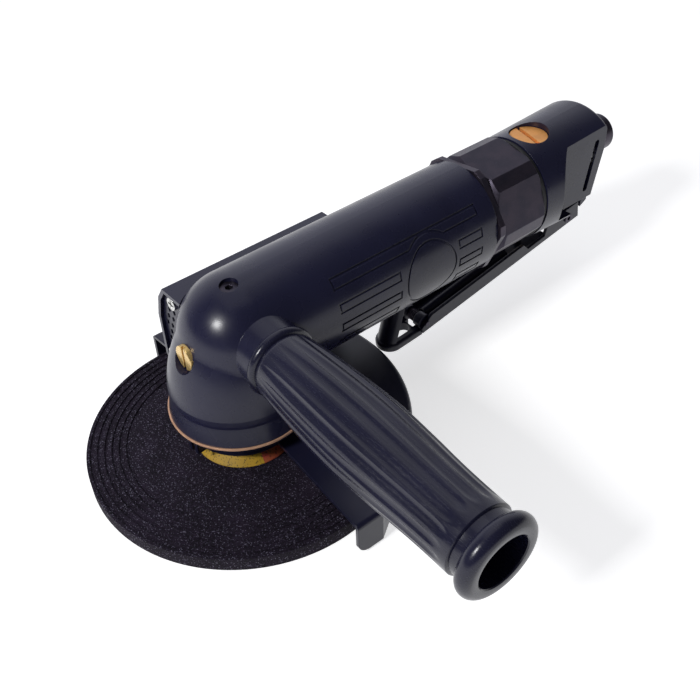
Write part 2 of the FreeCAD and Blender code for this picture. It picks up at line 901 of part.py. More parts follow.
def make_housing():
    taper = boss_end - boss_start
    boss = on_grip(Part.makeCone(boss_root_radius, boss_radius, taper, vec(0, 0, boss_start)))
    outside = fused([rounded_edges(head_outside(), head_round, is_head_crease), boss])
    housing = outside.cut(Part.makeCompound(housing_hollow()))
    ring_room = on_grip(cylinder(grip_ring_radius + body_gap, boss_end, grip_ring_end + overrun))
    for seat in plug_seats() + [ring_room]:
        housing = housing.cut(seat)
    for hole in exhaust_screw_holes():
        housing = housing.cut(hole)
    return housing.cut(engraved_lines())


def make_top_screw():
    foot = barrel_axis_height + barrel_radius - top_plug_recess_depth - top_plug_length
    screw = cylinder(top_plug_radius, foot, foot + top_plug_length)
    socket = prism(hexagon(top_plug_socket_radius), foot + top_plug_length - top_plug_socket_depth,
                   foot + top_plug_length + overrun, "xy")
    screw = screw.cut(socket)
    screw.translate(vec(top_plug_x, top_plug_y, 0))
    return screw


def hexagon(corner_radius, turn=0.0):
    angles = [math.radians(turn + 60 * index) for index in range(6)]
    return [(corner_radius * math.cos(a), corner_radius * math.sin(a)) for a in angles]


def make_front_plug():
    face = front_plug_face
    centre = vec(0, 0, barrel_axis_height)
    end = face + front_plug_length
    plug = cylinder(front_plug_radius - seat_gap, face, end, AXIS_X, centre)
    half = front_plug_slot_width / 2
    slot = block(face - overrun, face + front_plug_slot_depth, -half, half,
                 barrel_axis_height - front_plug_radius, barrel_axis_height + front_plug_radius)
    return plug.cut(slot)


def make_gasket():
    return tube(gasket_radius, lower_bearing_radius + seat_gap, gasket_foot, head_base_height)


def make_bearing_cap():
    """Cap that holds the lower bearing up; its neck carries the guard collar."""
    flange = cylinder(base_radius, cap_flange_foot, gasket_foot)
    neck = cylinder(cap_neck_radius, flange_top + body_gap, cap_flange_foot)
    lip = cylinder(lower_bearing_radius - seat_gap, cap_flange_foot, lower_bearing_foot - seat_gap)
    cap = fused([flange, neck, lip])
    cap = cap.cut(cylinder(cap_bore_radius, 0, head_base_height + overrun))
    return cap


def make_spindle_seal():
    """Felt ring between the cap and the turning spindle."""
    top = gasket_foot
    return tube(cap_bore_radius - seat_gap, shoulder_radius + running_gap, top - seal_thickness, top)


def guard_footprint(radius, top, foot, inset=0.0):
    """Rear part of a disc that runs out to a straight tab at the near end, as a solid."""
    start = math.radians(guard_ear_start_angle)
    leave = vec(radius * math.cos(start), radius * math.sin(start), foot)
    tab_y = guard_tab_y + inset
    run = (leave.y - tab_y) / math.cos(start)
    bend = vec(leave.x + run * math.sin(start), tab_y, foot)
    near = vec(guard_front_x, tab_y, foot)
    far = vec(guard_far_x, math.sqrt(radius ** 2 - guard_far_x ** 2), foot)
    inner = vec(guard_inner_x, 0, foot)
    arc = Part.Arc(leave, vec(radius, 0, foot), far).toShape()
    corners = [far, inner, near, bend, leave]
    lines = [Part.makeLine(a, b) for a, b in zip(corners, corners[1:])]
    return Part.Face(Part.Wire([arc] + lines)).extrude(vec(0, 0, top - foot))


def make_guard():
    """Sheet guard: plate over the rear of the wheel, skirt, near-end tab and split collar."""
    top = guard_plate_height + guard_sheet
    foot = top - guard_skirt_depth
    outer = guard_footprint(guard_radius, top, foot)
    outer = rounded_edges(outer, guard_corner_radius, lambda edge: is_rim(edge, top))
    inner = guard_footprint(guard_radius - guard_sheet, guard_plate_height, foot - overrun, guard_sheet)
    front = block(-guard_radius, guard_inner_x + overrun, guard_tab_y + guard_sheet,
                  guard_radius - guard_sheet, foot - overrun, guard_plate_height)
    shell = outer.cut(inner).cut(front).cut(tab_corner(foot))
    collar = cylinder(guard_collar_radius, guard_plate_height, top + guard_collar_height)
    guard = fused([shell, collar, lug_pair(top)])
    guard = guard.cut(cylinder(cap_neck_radius + body_gap, foot - overrun, top + 2 * guard_collar_height))
    guard = guard.cut(collar_slit(top))
    return guard.cut(clamp_screw_way(top))


def is_rim(edge, height):
    """True for a level edge along the outside of the guard."""
    centre = edge.valueAt((edge.FirstParameter + edge.LastParameter) / 2)
    outside = math.hypot(centre.x, centre.y) > guard_radius - seat_gap
    return outside and is_ring_at(edge, (height,))


def tab_corner(foot):
    """Rounded lower corner of the skirt at its near end."""
    r = guard_tab_radius
    side = block(guard_front_x - overrun, guard_front_x + r, -2 * guard_radius, -guard_radius / 2,
                 foot - overrun, foot + r)
    keep = cylinder(r, -3 * guard_radius, 0, AXIS_Y, vec(guard_front_x + r, 0, foot + r))
    return side.cut(keep)


def lug_frame(shape):
    shape.rotate(vec(0, 0, 0), AXIS_Z, guard_slit_angle)
    return shape


def lug_pair(top):
    """Two ears beside the collar's slit, built on +X and turned into place."""
    half = guard_slit_width / 2 + lug_thickness
    reach = guard_collar_radius + lug_length
    ears = block(guard_collar_radius - guard_sheet, reach, -half, half, top - guard_sheet, top + lug_height)
    return lug_frame(ears)


def collar_slit(top):
    half = guard_slit_width / 2
    slit = block(cap_neck_radius - guard_sheet, guard_collar_radius + lug_length + overrun, -half, half,
                 0, top + 2 * guard_collar_height)
    return lug_frame(slit)


def lug_screw_centre(top):
    return vec(guard_collar_radius + lug_length / 2, 0, top + lug_height / 2 - guard_sheet / 2)


def clamp_screw_way(top):
    half = guard_slit_width / 2 + lug_thickness
    centre = lug_screw_centre(top)
    way = cylinder(clamp_screw_radius + seat_gap, -half - overrun, half + overrun, AXIS_Y, centre)
    return lug_frame(way)


def make_clamp_screw():
    top = guard_plate_height + guard_sheet
    half = guard_slit_width / 2 + lug_thickness
    centre = lug_screw_centre(top)
    shank = cylinder(clamp_screw_radius, -half, half, AXIS_Y, centre)
    tip = half + clamp_screw_head_length
    head = cylinder(clamp_screw_head_radius, -tip, -half, AXIS_Y, centre)
    socket = cylinder(clamp_socket_radius, -tip - overrun, -tip + clamp_socket_depth, AXIS_Y, centre)
    return lug_frame(fused([shank, head]).cut(socket))


def make_motor_bearings():
    pinion_end = pinion_bore_start + seat_gap + pinion_bearing_width
    first = ball_bearing(pinion_bore_radius, rotor_shaft_radius + running_gap, pinion_bore_start + seat_gap,
                         pinion_end, motor_ball_count)
    save("pinion_bearing", on_barrel(first))
    start = front_plate_start + (front_plate_width - front_bearing_width) / 2
    front = ball_bearing(front_bearing_radius, rotor_shaft_radius + running_gap, start,
                         start + front_bearing_width, motor_ball_count)
    save("rotor_front_bearing", on_barrel(front))
    start = liner_end + (rear_plate_width - rear_bearing_width) / 2
    rear = ball_bearing(rear_bearing_radius, rotor_tail_radius + running_gap, start,
                        start + rear_bearing_width, motor_ball_count)
    save("rotor_rear_bearing", on_barrel(rear))


def make_bearing_retainer():
    start = pinion_bore_start + 2 * seat_gap + pinion_bearing_width
    ring = tube(pinion_bore_radius - seat_gap, retainer_bore_radius, start, start + retainer_width)
    half = retainer_slot_width / 2
    slot = block(-pinion_bore_radius, pinion_bore_radius, -half, half,
                 start + retainer_width / 2, start + retainer_width + overrun)
    return on_barrel(ring.cut(slot))


def make_end_plate(start, width, bearing_radius, bearing_width, shaft_radius):
    """Motor end plate with a bearing pocket and a ring of air ports."""
    plate = cylinder(motor_bore_radius - seat_gap, start + seat_gap, start + width - seat_gap)
    plate = plate.cut(cylinder(shaft_radius + plate_shaft_gap, start - overrun, start + width + overrun))
    low = start + (width - bearing_width) / 2 - seat_gap
    plate = plate.cut(cylinder(bearing_radius + seat_gap, low, low + bearing_width + 2 * seat_gap))
    port = cylinder(plate_port_radius, start - overrun, start + width + overrun)
    port.translate(vec(plate_port_circle, 0, 0))
    return on_barrel(plate.cut(Part.makeCompound(spun(port, plate_port_count, start_angle=plate_port_turn))))


def make_liner():
    """Cylinder with an eccentric bore and a row of exhaust ports facing the cover."""
    liner = cylinder(motor_bore_radius - seat_gap, liner_start + seat_gap, liner_end - seat_gap)
    bore = cylinder(liner_bore_radius, liner_start - overrun, liner_end + overrun)
    bore.translate(vec(-liner_offset, 0, 0))
    liner = liner.cut(bore)
    step = (exhaust_window_end - exhaust_window_start) / liner_port_count
    for index in range(liner_port_count):
        middle = exhaust_window_start + step * (index + 1 / 2)
        port = block(-liner_port_height / 2, liner_port_height / 2, 0, motor_bore_radius + overrun,
                     middle - liner_port_width / 2, middle + liner_port_width / 2)
        liner = liner.cut(port)
    return on_barrel(liner)


def vane_blade(grow=0.0, height=vane_height):
    half = vane_thickness / 2 + grow
    start = liner_start + rotor_end_gap
    return block(rotor_radius - height, rotor_radius + (overrun if grow else 0), -half, half,
                 start, liner_end - rotor_end_gap)


def make_rotor():
    back = cone_distance * math.cos(pinion_cone) + pinion_hub_length
    rotor = turned([
        (0, rotor_nose_start),
        (rotor_tail_radius, rotor_nose_start),
        (rotor_tail_radius, back),
        (rotor_shaft_radius, back),
        (rotor_shaft_radius, liner_start + rotor_end_gap),
        (rotor_radius, liner_start + rotor_end_gap),
        (rotor_radius, liner_end - rotor_end_gap),
        (rotor_tail_radius, liner_end - rotor_end_gap),
        (rotor_tail_radius, rear_plate_end - seat_gap),
        (0, rear_plate_end - seat_gap),
    ])
    slots = spun(vane_blade(running_gap, vane_slot_depth), vane_count)
    return on_barrel(rotor.cut(Part.makeCompound(slots)))


def make_vanes():
    return on_barrel(Part.makeCompound(spun(vane_blade(), vane_count)))


def make_motor_gasket():
    outer = motor_bore_radius - seat_gap
    return on_barrel(tube(outer, spigot_bore_radius, rear_plate_end, motor_gasket_end))


def cut_hexagon(corner_radius, corner_angle, turn):
    """Hexagon whose corners are cut to short flats."""
    points = []
    for index in range(6):
        middle = turn + 30 + 60 * index
        for side in (-1, 1):
            angle = math.radians(middle + side * corner_angle / 2)
            points.append((-corner_radius * math.cos(angle), corner_radius * math.sin(angle)))
    return points


def barrel_section(points):
    """Move an outline from the barrel's cross plane to the real height."""
    return [(y, z + barrel_axis_height) for y, z in points]


def make_lock_plate():
    outline = cut_hexagon(lock_plate_corner_radius, lock_plate_corner_angle, lock_plate_turn)
    plate = prism(barrel_section(outline), lock_plate_start, lock_plate_start + lock_plate_thickness, "yz")
    bore = nut_spigot_radius + seat_gap
    return plate.cut(on_barrel(cylinder(bore, lock_plate_start - overrun, nut_start + overrun)))


def make_clamp_nut():
    outline = cut_hexagon(nut_corner_radius, nut_corner_angle, nut_turn)
    body = prism(barrel_section(outline), nut_start, nut_end, "yz")
    lead = nut_front_chamfer
    limit = turned([
        (0, nut_start),
        (nut_corner_radius - lead, nut_start),
        (nut_corner_radius, nut_start + lead),
        (nut_corner_radius, nut_end - lead / 2),
        (nut_corner_radius - lead / 2, nut_end),
        (0, nut_end),
    ])
    body = body.common(on_barrel(limit))
    spigot = on_barrel(cylinder(nut_spigot_radius, nut_spigot_start, nut_start))
    bore = on_barrel(cylinder(nut_bore_radius, nut_spigot_start - overrun, nut_end + overrun))
    return fused([body, spigot]).cut(bore)


def make_seal_ring():
    """Flat rubber ring in the groove between the nut and the throttle body."""
    start = nut_end + seat_gap
    ring = tube(seal_ring_radius, nut_bore_radius + seat_gap, start, body_start - seat_gap)
    outer = [edge for edge in ring.Edges if edge.BoundBox.XMax > seal_ring_radius - seat_gap]
    rounds = [edge for edge in outer if edge.BoundBox.ZMax - edge.BoundBox.ZMin < seat_gap]
    return on_barrel(ring.makeFillet(seal_ring_round, rounds))


def side_flat(side):
    """Cutter for one flat on the throttle body, with a curved run-out at its front."""
    wall = flat_half_width
    out = body_end_radius + overrun
    front = flat_start - flat_run_out
    rise = body_radius - wall
    points = [vec(flat_start, side * wall, 0), vec(body_end + overrun, side * wall, 0),
              vec(body_end + overrun, side * out, 0), vec(front, side * out, 0),
              vec(front, side * body_radius, 0)]
    bend = vec(flat_start - flat_run_out * math.sin(math.radians(45)) / 2,
               side * (wall + rise * (1 - math.cos(math.radians(45)))), 0)
    arc = Part.Arc(points[4], bend, points[0]).toShape()
    lines = [Part.makeLine(a, b) for a, b in zip(points, points[1:])]
    face = Part.Face(Part.Wire(lines + [arc]))
    face.translate(vec(0, 0, flat_foot_height))
    return face.extrude(vec(0, 0, 2 * body_radius))


def body_hollow():
    """Air way, valve bore, regulator pocket, side windows and stem hole."""
    axis = vec(0, 0, barrel_axis_height)
    inlet = vec(0, 0, inlet_axis_height)
    air = cylinder(spigot_bore_radius, body_spigot_start - overrun, valve_x, AXIS_X, axis)
    feed = cylinder(inlet_bore_radius, valve_x, body_end + overrun, AXIS_X, inlet)
    low = regulator_start - running_gap
    pocket = cylinder(regulator_bore_radius, low, body_end + overrun, AXIS_X, inlet)
    valve = cylinder(valve_bore_radius, valve_chamber_floor, barrel_axis_height + 2 * body_radius,
                     centre=vec(valve_x, 0, 0))
    recess = cylinder(valve_plug_recess_radius, valve_plug_top_height - valve_plug_thickness,
                      barrel_axis_height + 2 * body_radius, centre=vec(valve_x, 0, 0))
    stem = cylinder(stem_bush_radius, barrel_axis_height - 2 * body_radius, valve_chamber_floor + overrun,
                    centre=vec(valve_x, 0, 0))
    return [air, feed, pocket, valve, recess, stem, window_slot()]


def window_slot():
    """Leaning round-ended slot through both flats, where the flow ring shows."""
    half = window_width / 2
    length = window_half_length - half
    middle = vec(window_x, 0, window_height)
    slot = block(window_x - half, window_x + half, -body_radius, body_radius,
                 window_height - length, window_height + length)
    ends = [cylinder(half, -body_radius, body_radius, AXIS_Y, middle + AXIS_Z * (side * length))
            for side in (-1, 1)]
    slot = fused([slot] + ends)
    slot.rotate(middle, AXIS_Y, window_lean)
    return slot


def behind_body():
    """Everything behind the throttle body's rear face, which slopes in at the foot."""
    low = flat_foot_height - body_radius
    high = barrel_axis_height + 2 * body_radius
    slope = (body_end - end_foot_x) / (end_bend_height - flat_foot_height)
    foot = end_foot_x - slope * body_radius
    far = inlet_end + overrun
    outline = [(foot, low), (body_end, end_bend_height), (body_end, high), (far, high), (far, low)]
    return prism(outline, -2 * body_radius, 2 * body_radius)


def pivot_lug():
    """Lug under the body that carries the lever's pin, and the heel behind it."""
    centre = vec(pivot_x, 0, pivot_height)
    eye = cylinder(lug_round, -lug_half_width, lug_half_width, AXIS_Y, centre)
    top = flat_foot_height + overrun
    web = block(pivot_x - lug_round, pivot_x + lug_round, -lug_half_width, lug_half_width, pivot_height, top)
    low = heel_foot_height
    bridge = heel_bridge_height
    inner = pivot_x + overrun
    heel = [(heel_start, low), (heel_end, low + heel_slope), (heel_end, bridge), (heel_start, top),
            (inner, top), (inner, bridge), (heel_start, bridge)]
    stop = prism(heel, -heel_half_width, heel_half_width)
    return fused([eye, web, stop])


def make_throttle_body():
    axis = vec(0, 0, barrel_axis_height)
    length = body_end - body_start
    body = Part.makeCone(body_radius, body_end_radius, length, axis + AXIS_X * body_start, AXIS_X)
    body = rounded_edges(body, body_edge_round, lambda edge: edge.BoundBox.XMin > body_end - seat_gap)
    spigot = cylinder(nut_bore_radius - seat_gap, body_spigot_start, body_start, AXIS_X, axis)
    under = block(underside_start, body_end + overrun, -body_radius, body_radius,
                  barrel_axis_height - 2 * body_radius, flat_foot_height)
    body = body.cut(under).cut(behind_body())
    body = body.cut(side_flat(-1)).cut(side_flat(1))
    body = fused([body, spigot, pivot_lug()])
    for hollow in body_hollow():
        body = body.cut(hollow)
    return body.cut(cylinder(pivot_pin_radius + seat_gap, -body_radius, body_radius, AXIS_Y,
                             vec(pivot_x, 0, pivot_height)))


def make_valve_plug():
    centre = vec(valve_x, 0, 0)
    foot = valve_plug_top_height - valve_plug_thickness
    head = cylinder(valve_plug_radius, foot, valve_plug_top_height, centre=centre)
    thread = cylinder(valve_plug_thread_radius, foot - valve_plug_thickness, foot, centre=centre)
    half = valve_plug_slot_width / 2
    slot = block(valve_x - half, valve_x + half, -valve_plug_radius, valve_plug_radius,
                 valve_plug_top_height - valve_plug_slot_depth, valve_plug_top_height + overrun)
    slot.rotate(centre, AXIS_Z, -valve_plug_turn)
    return fused([head, thread]).cut(slot)


def make_valve_seat():
    centre = vec(valve_x, 0, 0)
    foot = valve_chamber_floor + seat_gap
    return tube(valve_bore_radius - seat_gap, seat_bore_radius, foot, foot + seat_height, centre=centre)


def make_stem_bush():
    centre = vec(valve_x, 0, 0)
    foot = barrel_axis_height - body_radius - stem_tip_gap
    bore = stem_radius + running_gap
    return tube(stem_bush_radius - seat_gap, bore, foot, valve_chamber_floor, centre=centre)


def lever_rise_at(x):
    """Height of the lever's web line under a station, at rest."""
    return lever_web_height - (pivot_x - x) * math.tan(math.radians(lever_slope))


lever_web_height = pivot_height + lever_pivot_below_ear_top - lever_ear_height


def make_valve_stem():
    """Poppet with a long pin that the lever pushes up."""
    centre = vec(valve_x, 0, 0)
    lift = valve_chamber_floor + seat_gap + seat_height + seat_gap
    poppet = cylinder(poppet_radius, lift, lift + poppet_thickness, centre=centre)
    slope = math.tan(math.radians(lever_slope))
    foot = lever_rise_at(valve_x) + lever_sheet + stem_radius * slope + stem_tip_gap
    pin = cylinder(stem_radius, foot, lift, centre=centre)
    return fused([poppet, pin])


def make_valve_spring():
    lift = valve_chamber_floor + 2 * seat_gap + seat_height + poppet_thickness
    top = valve_plug_top_height - 2 * valve_plug_thickness
    coil = spring(spring_wire, spring_radius, lift + seat_gap, top - seat_gap, spring_turn_count)
    coil.translate(vec(valve_x, 0, 0))
    return coil


def make_regulator():
    """Flow ring turned with a thumb through the side windows."""
    end = regulator_start + regulator_width
    ring = tube(regulator_radius, regulator_hole_radius, regulator_start, end)
    notch = cylinder(knurl_depth, regulator_start - overrun, end + overrun)
    notch.translate(vec(regulator_radius, 0, 0))
    ring = ring.cut(Part.makeCompound(spun(notch, regulator_knurl_count)))
    return on_barrel(ring, inlet_axis_height)


def make_inlet_bush():
    start = regulator_start + regulator_width + running_gap
    plug = cylinder(regulator_bore_radius - seat_gap, start, body_end)
    collar = cylinder(inlet_collar_radius, body_end, inlet_end)
    bush = fused([plug, collar])
    bush = rounded_edges(bush, inlet_edge_round, lambda edge: edge.BoundBox.ZMin > inlet_end - seat_gap)
    depth = inlet_end - inlet_thread_length
    seat = depth - screen_thickness - 2 * seat_gap
    bush = bush.cut(cylinder(inlet_thread_radius, depth, inlet_end + overrun))
    bush = bush.cut(cylinder(inlet_screen_radius + seat_gap, seat, depth + overrun))
    bush = bush.cut(cylinder(inlet_way_radius, start - overrun, depth))
    bush = on_barrel(bush, inlet_axis_height)
    centre = vec(0, 0, inlet_axis_height)
    start = end_foot_x - body_radius
    room = tube(2 * body_radius, inlet_collar_radius, start, inlet_end, AXIS_X, centre)
    return bush.cut(behind_body().common(room))


def make_inlet_screen():
    """Perforated disc at the foot of the inlet thread."""
    foot = inlet_end - inlet_thread_length - screen_thickness - seat_gap
    disc = cylinder(inlet_screen_radius, foot, foot + screen_thickness)
    holes = [cylinder(screen_hole_radius, foot - overrun, foot + overrun)]
    for ring in range(1, screen_ring_count + 1):
        hole = holes[0].copy()
        hole.translate(vec(screen_ring_pitch * ring, 0, 0))
        holes += spun(hole, screen_ring_hole_count * ring)
    return on_barrel(disc.cut(Part.makeCompound(holes)), inlet_axis_height)


def lever_tilt(shape):
    """Turn a piece drawn level about the pivot into the lever's rest slope."""
    shape.rotate(vec(pivot_x, 0, pivot_height), AXIS_Y, -lever_slope)
    return shape


def lever_length():
    return (pivot_x - lever_front_x) / math.cos(math.radians(lever_slope))


def make_lever():
    """Pressed channel lever, drawn level and then tilted about its pivot."""
    foot = lever_web_height
    front = pivot_x - lever_length()
    tail = pivot_x + lever_ear_tail
    half = lever_half_width
    ear_front = pivot_x - lever_ear_length
    gap_end = pivot_x - lever_flange_gap
    top = foot + lever_flange_height
    side = [
        (front, foot), (tail, foot), (tail, foot + lever_ear_height), (ear_front, foot + lever_ear_height),
        (ear_front - lever_low_flange, foot + lever_low_flange),
        (gap_end + lever_low_flange, foot + lever_low_flange), (gap_end, top),
        (front + lever_flange_height, top), (front, foot + lever_low_flange),
    ]
    lever = prism(side, -half, half)
    inside = half - lever_sheet
    hollow = block(front - overrun, ear_front, -inside, inside, foot + lever_sheet, top + lever_ear_height)
    clevis = block(ear_front, tail + overrun, -inside, inside, foot - overrun, top + lever_ear_height)
    lever = lever.cut(hollow).cut(clevis)
    room = latch_pin_x - lever_front_x + latch_ear_radius + running_gap
    nose_room = block(front - overrun, front + room, -inside, inside,
                      foot - overrun, foot + lever_sheet + overrun)
    lever = lever.cut(nose_room)
    lever = lever.fuse(lever_bead(front, foot)).removeSplitter()
    pin = cylinder(pivot_pin_radius + seat_gap, -2 * half, 2 * half, AXIS_Y, vec(pivot_x, 0, pivot_height))
    lever = lever_tilt(lever.cut(pin))
    latch_hole = cylinder(latch_pin_radius + seat_gap, -2 * half, 2 * half, AXIS_Y,
                          vec(latch_pin_x, 0, latch_pin_height))
    return lever.cut(latch_hole)


def lever_bead(front, foot):
    """Rounded stiffening bead pressed up along the web."""
    half = bead_width / 2
    start = front + latch_pin_x - lever_front_x + latch_ear_radius + lever_sheet
    end = pivot_x - bead_start
    section = [vec(start, -half, foot + lever_sheet), vec(start, half, foot + lever_sheet)]
    crown = vec(start, 0, foot + lever_sheet + bead_height)
    arc = Part.Arc(section[0], crown, section[1]).toShape()
    face = Part.Face(Part.Wire([arc, Part.makeLine(section[1], section[0])]))
    return face.extrude(vec(end - start, 0, 0))


def make_lever_pin():
    """Pin with a hollow flat head outside each ear of the lever."""
    centre = vec(pivot_x, 0, pivot_height)
    inner = lever_half_width + seat_gap
    outer = inner + pin_head_length
    pin = cylinder(pivot_pin_radius, -outer, outer, AXIS_Y, centre)
    pin = fused([pin, cylinder(pin_head_radius, inner, outer, AXIS_Y, centre),
                 cylinder(pin_head_radius, -outer, -inner, AXIS_Y, centre)])
    pin = pin.cut(cylinder(pin_dimple_radius, outer - pin_dimple_depth, outer + overrun, AXIS_Y, centre))
    return pin.cut(cylinder(pin_dimple_radius, -outer - overrun, pin_dimple_depth - outer, AXIS_Y, centre))


def make_latch():
    """Finger loop with a prop that stops the lever, one piece on the latch pin."""
    half = latch_half_width
    pin_centre = vec(latch_pin_x, 0, latch_pin_height)
    foot = latch_ring_height - latch_ring_rim / 2
    top = latch_ring_height + latch_ring_rim / 2
    nose = latch_front_x + half
    rear = latch_pin_x - latch_pin_radius
    plate = fused([block(nose, rear, -half, half, foot, top),
                   cylinder(half, foot, top, centre=vec(nose, 0, 0))])
    plate = rounded_edges(plate, latch_ring_round, lambda edge: is_ring_at(edge, (foot, top))
                          and edge.BoundBox.XMin < rear - seat_gap)
    inner = latch_slot_half_width
    slot_end = latch_pin_x - 2 * latch_ear_radius
    slot = fused([block(nose, slot_end, -inner, inner, foot - overrun, top + overrun),
                  cylinder(inner, foot - overrun, top + overrun, centre=vec(nose, 0, 0)),
                  cylinder(inner, foot - overrun, top + overrun, centre=vec(slot_end, 0, 0))])
    ring = plate.cut(slot)
    ring.rotate(vec(latch_pin_x, 0, latch_ring_height), AXIS_Y, -latch_ring_lean)
    ears = cylinder(latch_ear_radius, -half, half, AXIS_Y, pin_centre)
    latch = fused([ring, ears, latch_prop()])
    room = latch_ear_radius + seat_gap
    middle = latch_spring_half_width + body_gap
    latch = latch.cut(block(latch_pin_x - room, latch_pin_x + room, -middle, middle,
                            foot - room, latch_pin_height + room))
    return latch.cut(cylinder(latch_pin_radius + seat_gap, -2 * half, 2 * half, AXIS_Y, pin_centre))


def nose_arc(radius, centre):
    """Arc round the front of the loop's nose, as its end points and middle."""
    start = math.radians(180 - latch_prop_reach)
    end = math.radians(180 + latch_prop_reach)
    points = [centre + vec(radius * math.cos(a), radius * math.sin(a), 0) for a in (start, math.pi, end)]
    return points, Part.Arc(*points).toShape()


def latch_prop():
    """Curved plate that rises from the loop's nose to just under the barrel, leaning back."""
    outer = latch_half_width - latch_prop_inset
    foot = vec(latch_front_x + latch_half_width, 0, latch_ring_height - latch_ring_round)
    head = vec(foot.x + latch_prop_lean, 0, barrel_underside - latch_prop_top_gap)
    wires = []
    for centre in (foot, head):
        front, outer_arc = nose_arc(outer, centre)
        back, inner_arc = nose_arc(outer - latch_prop_sheet, centre)
        sides = [Part.makeLine(front[-1], back[-1]), Part.makeLine(back[0], front[0])]
        wires.append(Part.Wire([outer_arc, sides[0], inner_arc, sides[1]]))
    return Part.makeLoft(wires, True, True)


def make_latch_pin():
    half = lever_half_width + lever_sheet / 4
    return cylinder(latch_pin_radius, -half, half, AXIS_Y, vec(latch_pin_x, 0, latch_pin_height))


def make_latch_spring():
    """Torsion spring round the latch pin, between the latch's ears."""
    half = latch_spring_half_width
    coil = spring(latch_spring_wire, latch_spring_radius, -half, half, latch_spring_turn_count)
    return placed(coil, vec(latch_pin_x, 0, latch_pin_height), FreeCAD.Rotation(AXIS_X, 90))


def grip_belly(extra=0.0, end_extra=0.0):
    """Smooth line along the grip's swelling, moved out in the middle and at the ends."""
    last = len(grip_radii) - 1
    points = []
    for index, (radius, station) in enumerate(zip(grip_radii, grip_stations)):
        shift = end_extra if index in (0, last) else extra
        points.append(vec(radius + shift, 0, station))
    curve = Part.BSplineCurve()
    curve.interpolate(points)
    return points, curve.toShape()


def grip_section():
    """Closed half section: ring at the head, belly, waist and rolled rim."""
    belly, swelling = grip_belly()
    bead = [vec(0, 0, grip_ring_start), vec(grip_neck_radius, 0, grip_ring_start),
            vec(grip_ring_radius, 0, grip_ring_crest), vec(grip_neck_radius, 0, grip_ring_end)]
    rim_middle = (grip_rim_start + grip_length) / 2
    rim = [vec(grip_radii[-1], 0, grip_rim_start), vec(grip_rim_radius, 0, rim_middle),
           vec(grip_rim_radius - grip_rim_round, 0, grip_length)]
    return [
        Part.makeLine(bead[0], bead[1]),
        Part.Arc(bead[1], bead[2], bead[3]).toShape(),
        Part.makeLine(bead[3], vec(grip_neck_radius, 0, grip_neck_end)),
        Part.makeLine(vec(grip_neck_radius, 0, grip_neck_end), belly[0]),
        swelling,
        Part.makeLine(belly[-1], rim[0]),
        Part.Arc(rim[0], rim[1], rim[2]).toShape(),
        Part.makeLine(rim[2], vec(0, 0, grip_length)),
        Part.makeLine(vec(0, 0, grip_length), bead[0]),
    ]


def grip_flute():
    """Long thin lens of material removed along the belly."""
    path, arc = grip_belly(flute_radius - flute_depth, flute_radius + seat_gap)
    start = arc.tangentAt(arc.FirstParameter)
    ring = Part.Circle(path[0], start, flute_radius).toShape()
    return Part.Wire([arc]).makePipeShell([Part.Wire([ring])], True, True)


def make_grip():
    """Fluted handle with a ring at the head and a rolled rim at the open end."""
    grip = Part.Face(Part.Wire(grip_section())).revolve(vec(0, 0, 0), AXIS_Z, 360)
    grip = grip.cut(Part.makeCompound(spun(grip_flute(), flute_count, start_angle=flute_phase)))
    grip = grip.cut(cylinder(grip_bore_radius, grip_pocket_end, grip_length + overrun))
    grip = grip.cut(cylinder(grip_pocket_radius, grip_bore_floor, grip_pocket_end + overrun))
    return on_grip(grip.cut(cylinder(bolt_radius + seat_gap, 0, grip_bore_floor + overrun)))


def make_grip_bolt():
    seat = grip_bore_floor + bolt_washer_thickness
    shank = cylinder(bolt_radius, bolt_start + seat_gap, seat)
    head = cylinder(bolt_head_radius, seat, seat + bolt_head_height)
    end = seat + bolt_head_height
    socket = prism(hexagon(bolt_socket_radius), end - bolt_socket_depth, end + overrun, "xy")
    return on_grip(fused([shank, head]).cut(socket))


def make_grip_washer():
    seat = grip_bore_floor
    return on_grip(tube(bolt_washer_radius, bolt_radius + seat_gap, seat, seat + bolt_washer_thickness))


def cover_section(inset):
    """Cross section of the exhaust cover, shrunk by a wall thickness, as a flat face at x = 0."""
    edge = cover_foot_chamfer
    outline = [
        (cover_root_y, cover_root_height),
        (cover_foot_y, cover_bottom_height),
        (cover_outer_y - edge, cover_bottom_height),
        (cover_outer_y, cover_bottom_height + edge),
        (cover_outer_y, cover_shoulder_height),
        (cover_bend_y, cover_bend_height),
        (cover_shoulder_y, cover_top_height),
        (cover_root_y, cover_top_height),
    ]
    points = [vec(0, y, z) for y, z in outline]
    wire = Part.makePolygon(points + [points[0]])
    if inset > 0:
        wire = wire.makeOffset2D(-inset, 2)
    return Part.Face(wire)


def cover_block(inset, start, end):
    """The cover's section pushed along the barrel from one station to another."""
    face = cover_section(inset)
    face.translate(vec(start, 0, 0))
    return face.extrude(vec(end - start, 0, 0))


def screw_boss(y, z):
    start = cover_front_x + screen_inset + exhaust_screen_thickness + seat_gap
    return cylinder(screw_boss_radius, start, start + exhaust_screw_length, AXIS_X, vec(0, y, z))


def exhaust_screw_places():
    return ((upper_screw_y, upper_screw_height), (lower_screw_y, lower_screw_height))


def exhaust_screw_holes():
    start = cover_front_x - overrun
    end = cover_front_x + exhaust_screw_length + 2 * overrun
    return [cylinder(exhaust_screw_radius + seat_gap, start, end, AXIS_X, vec(0, y, z))
            for y, z in exhaust_screw_places()]


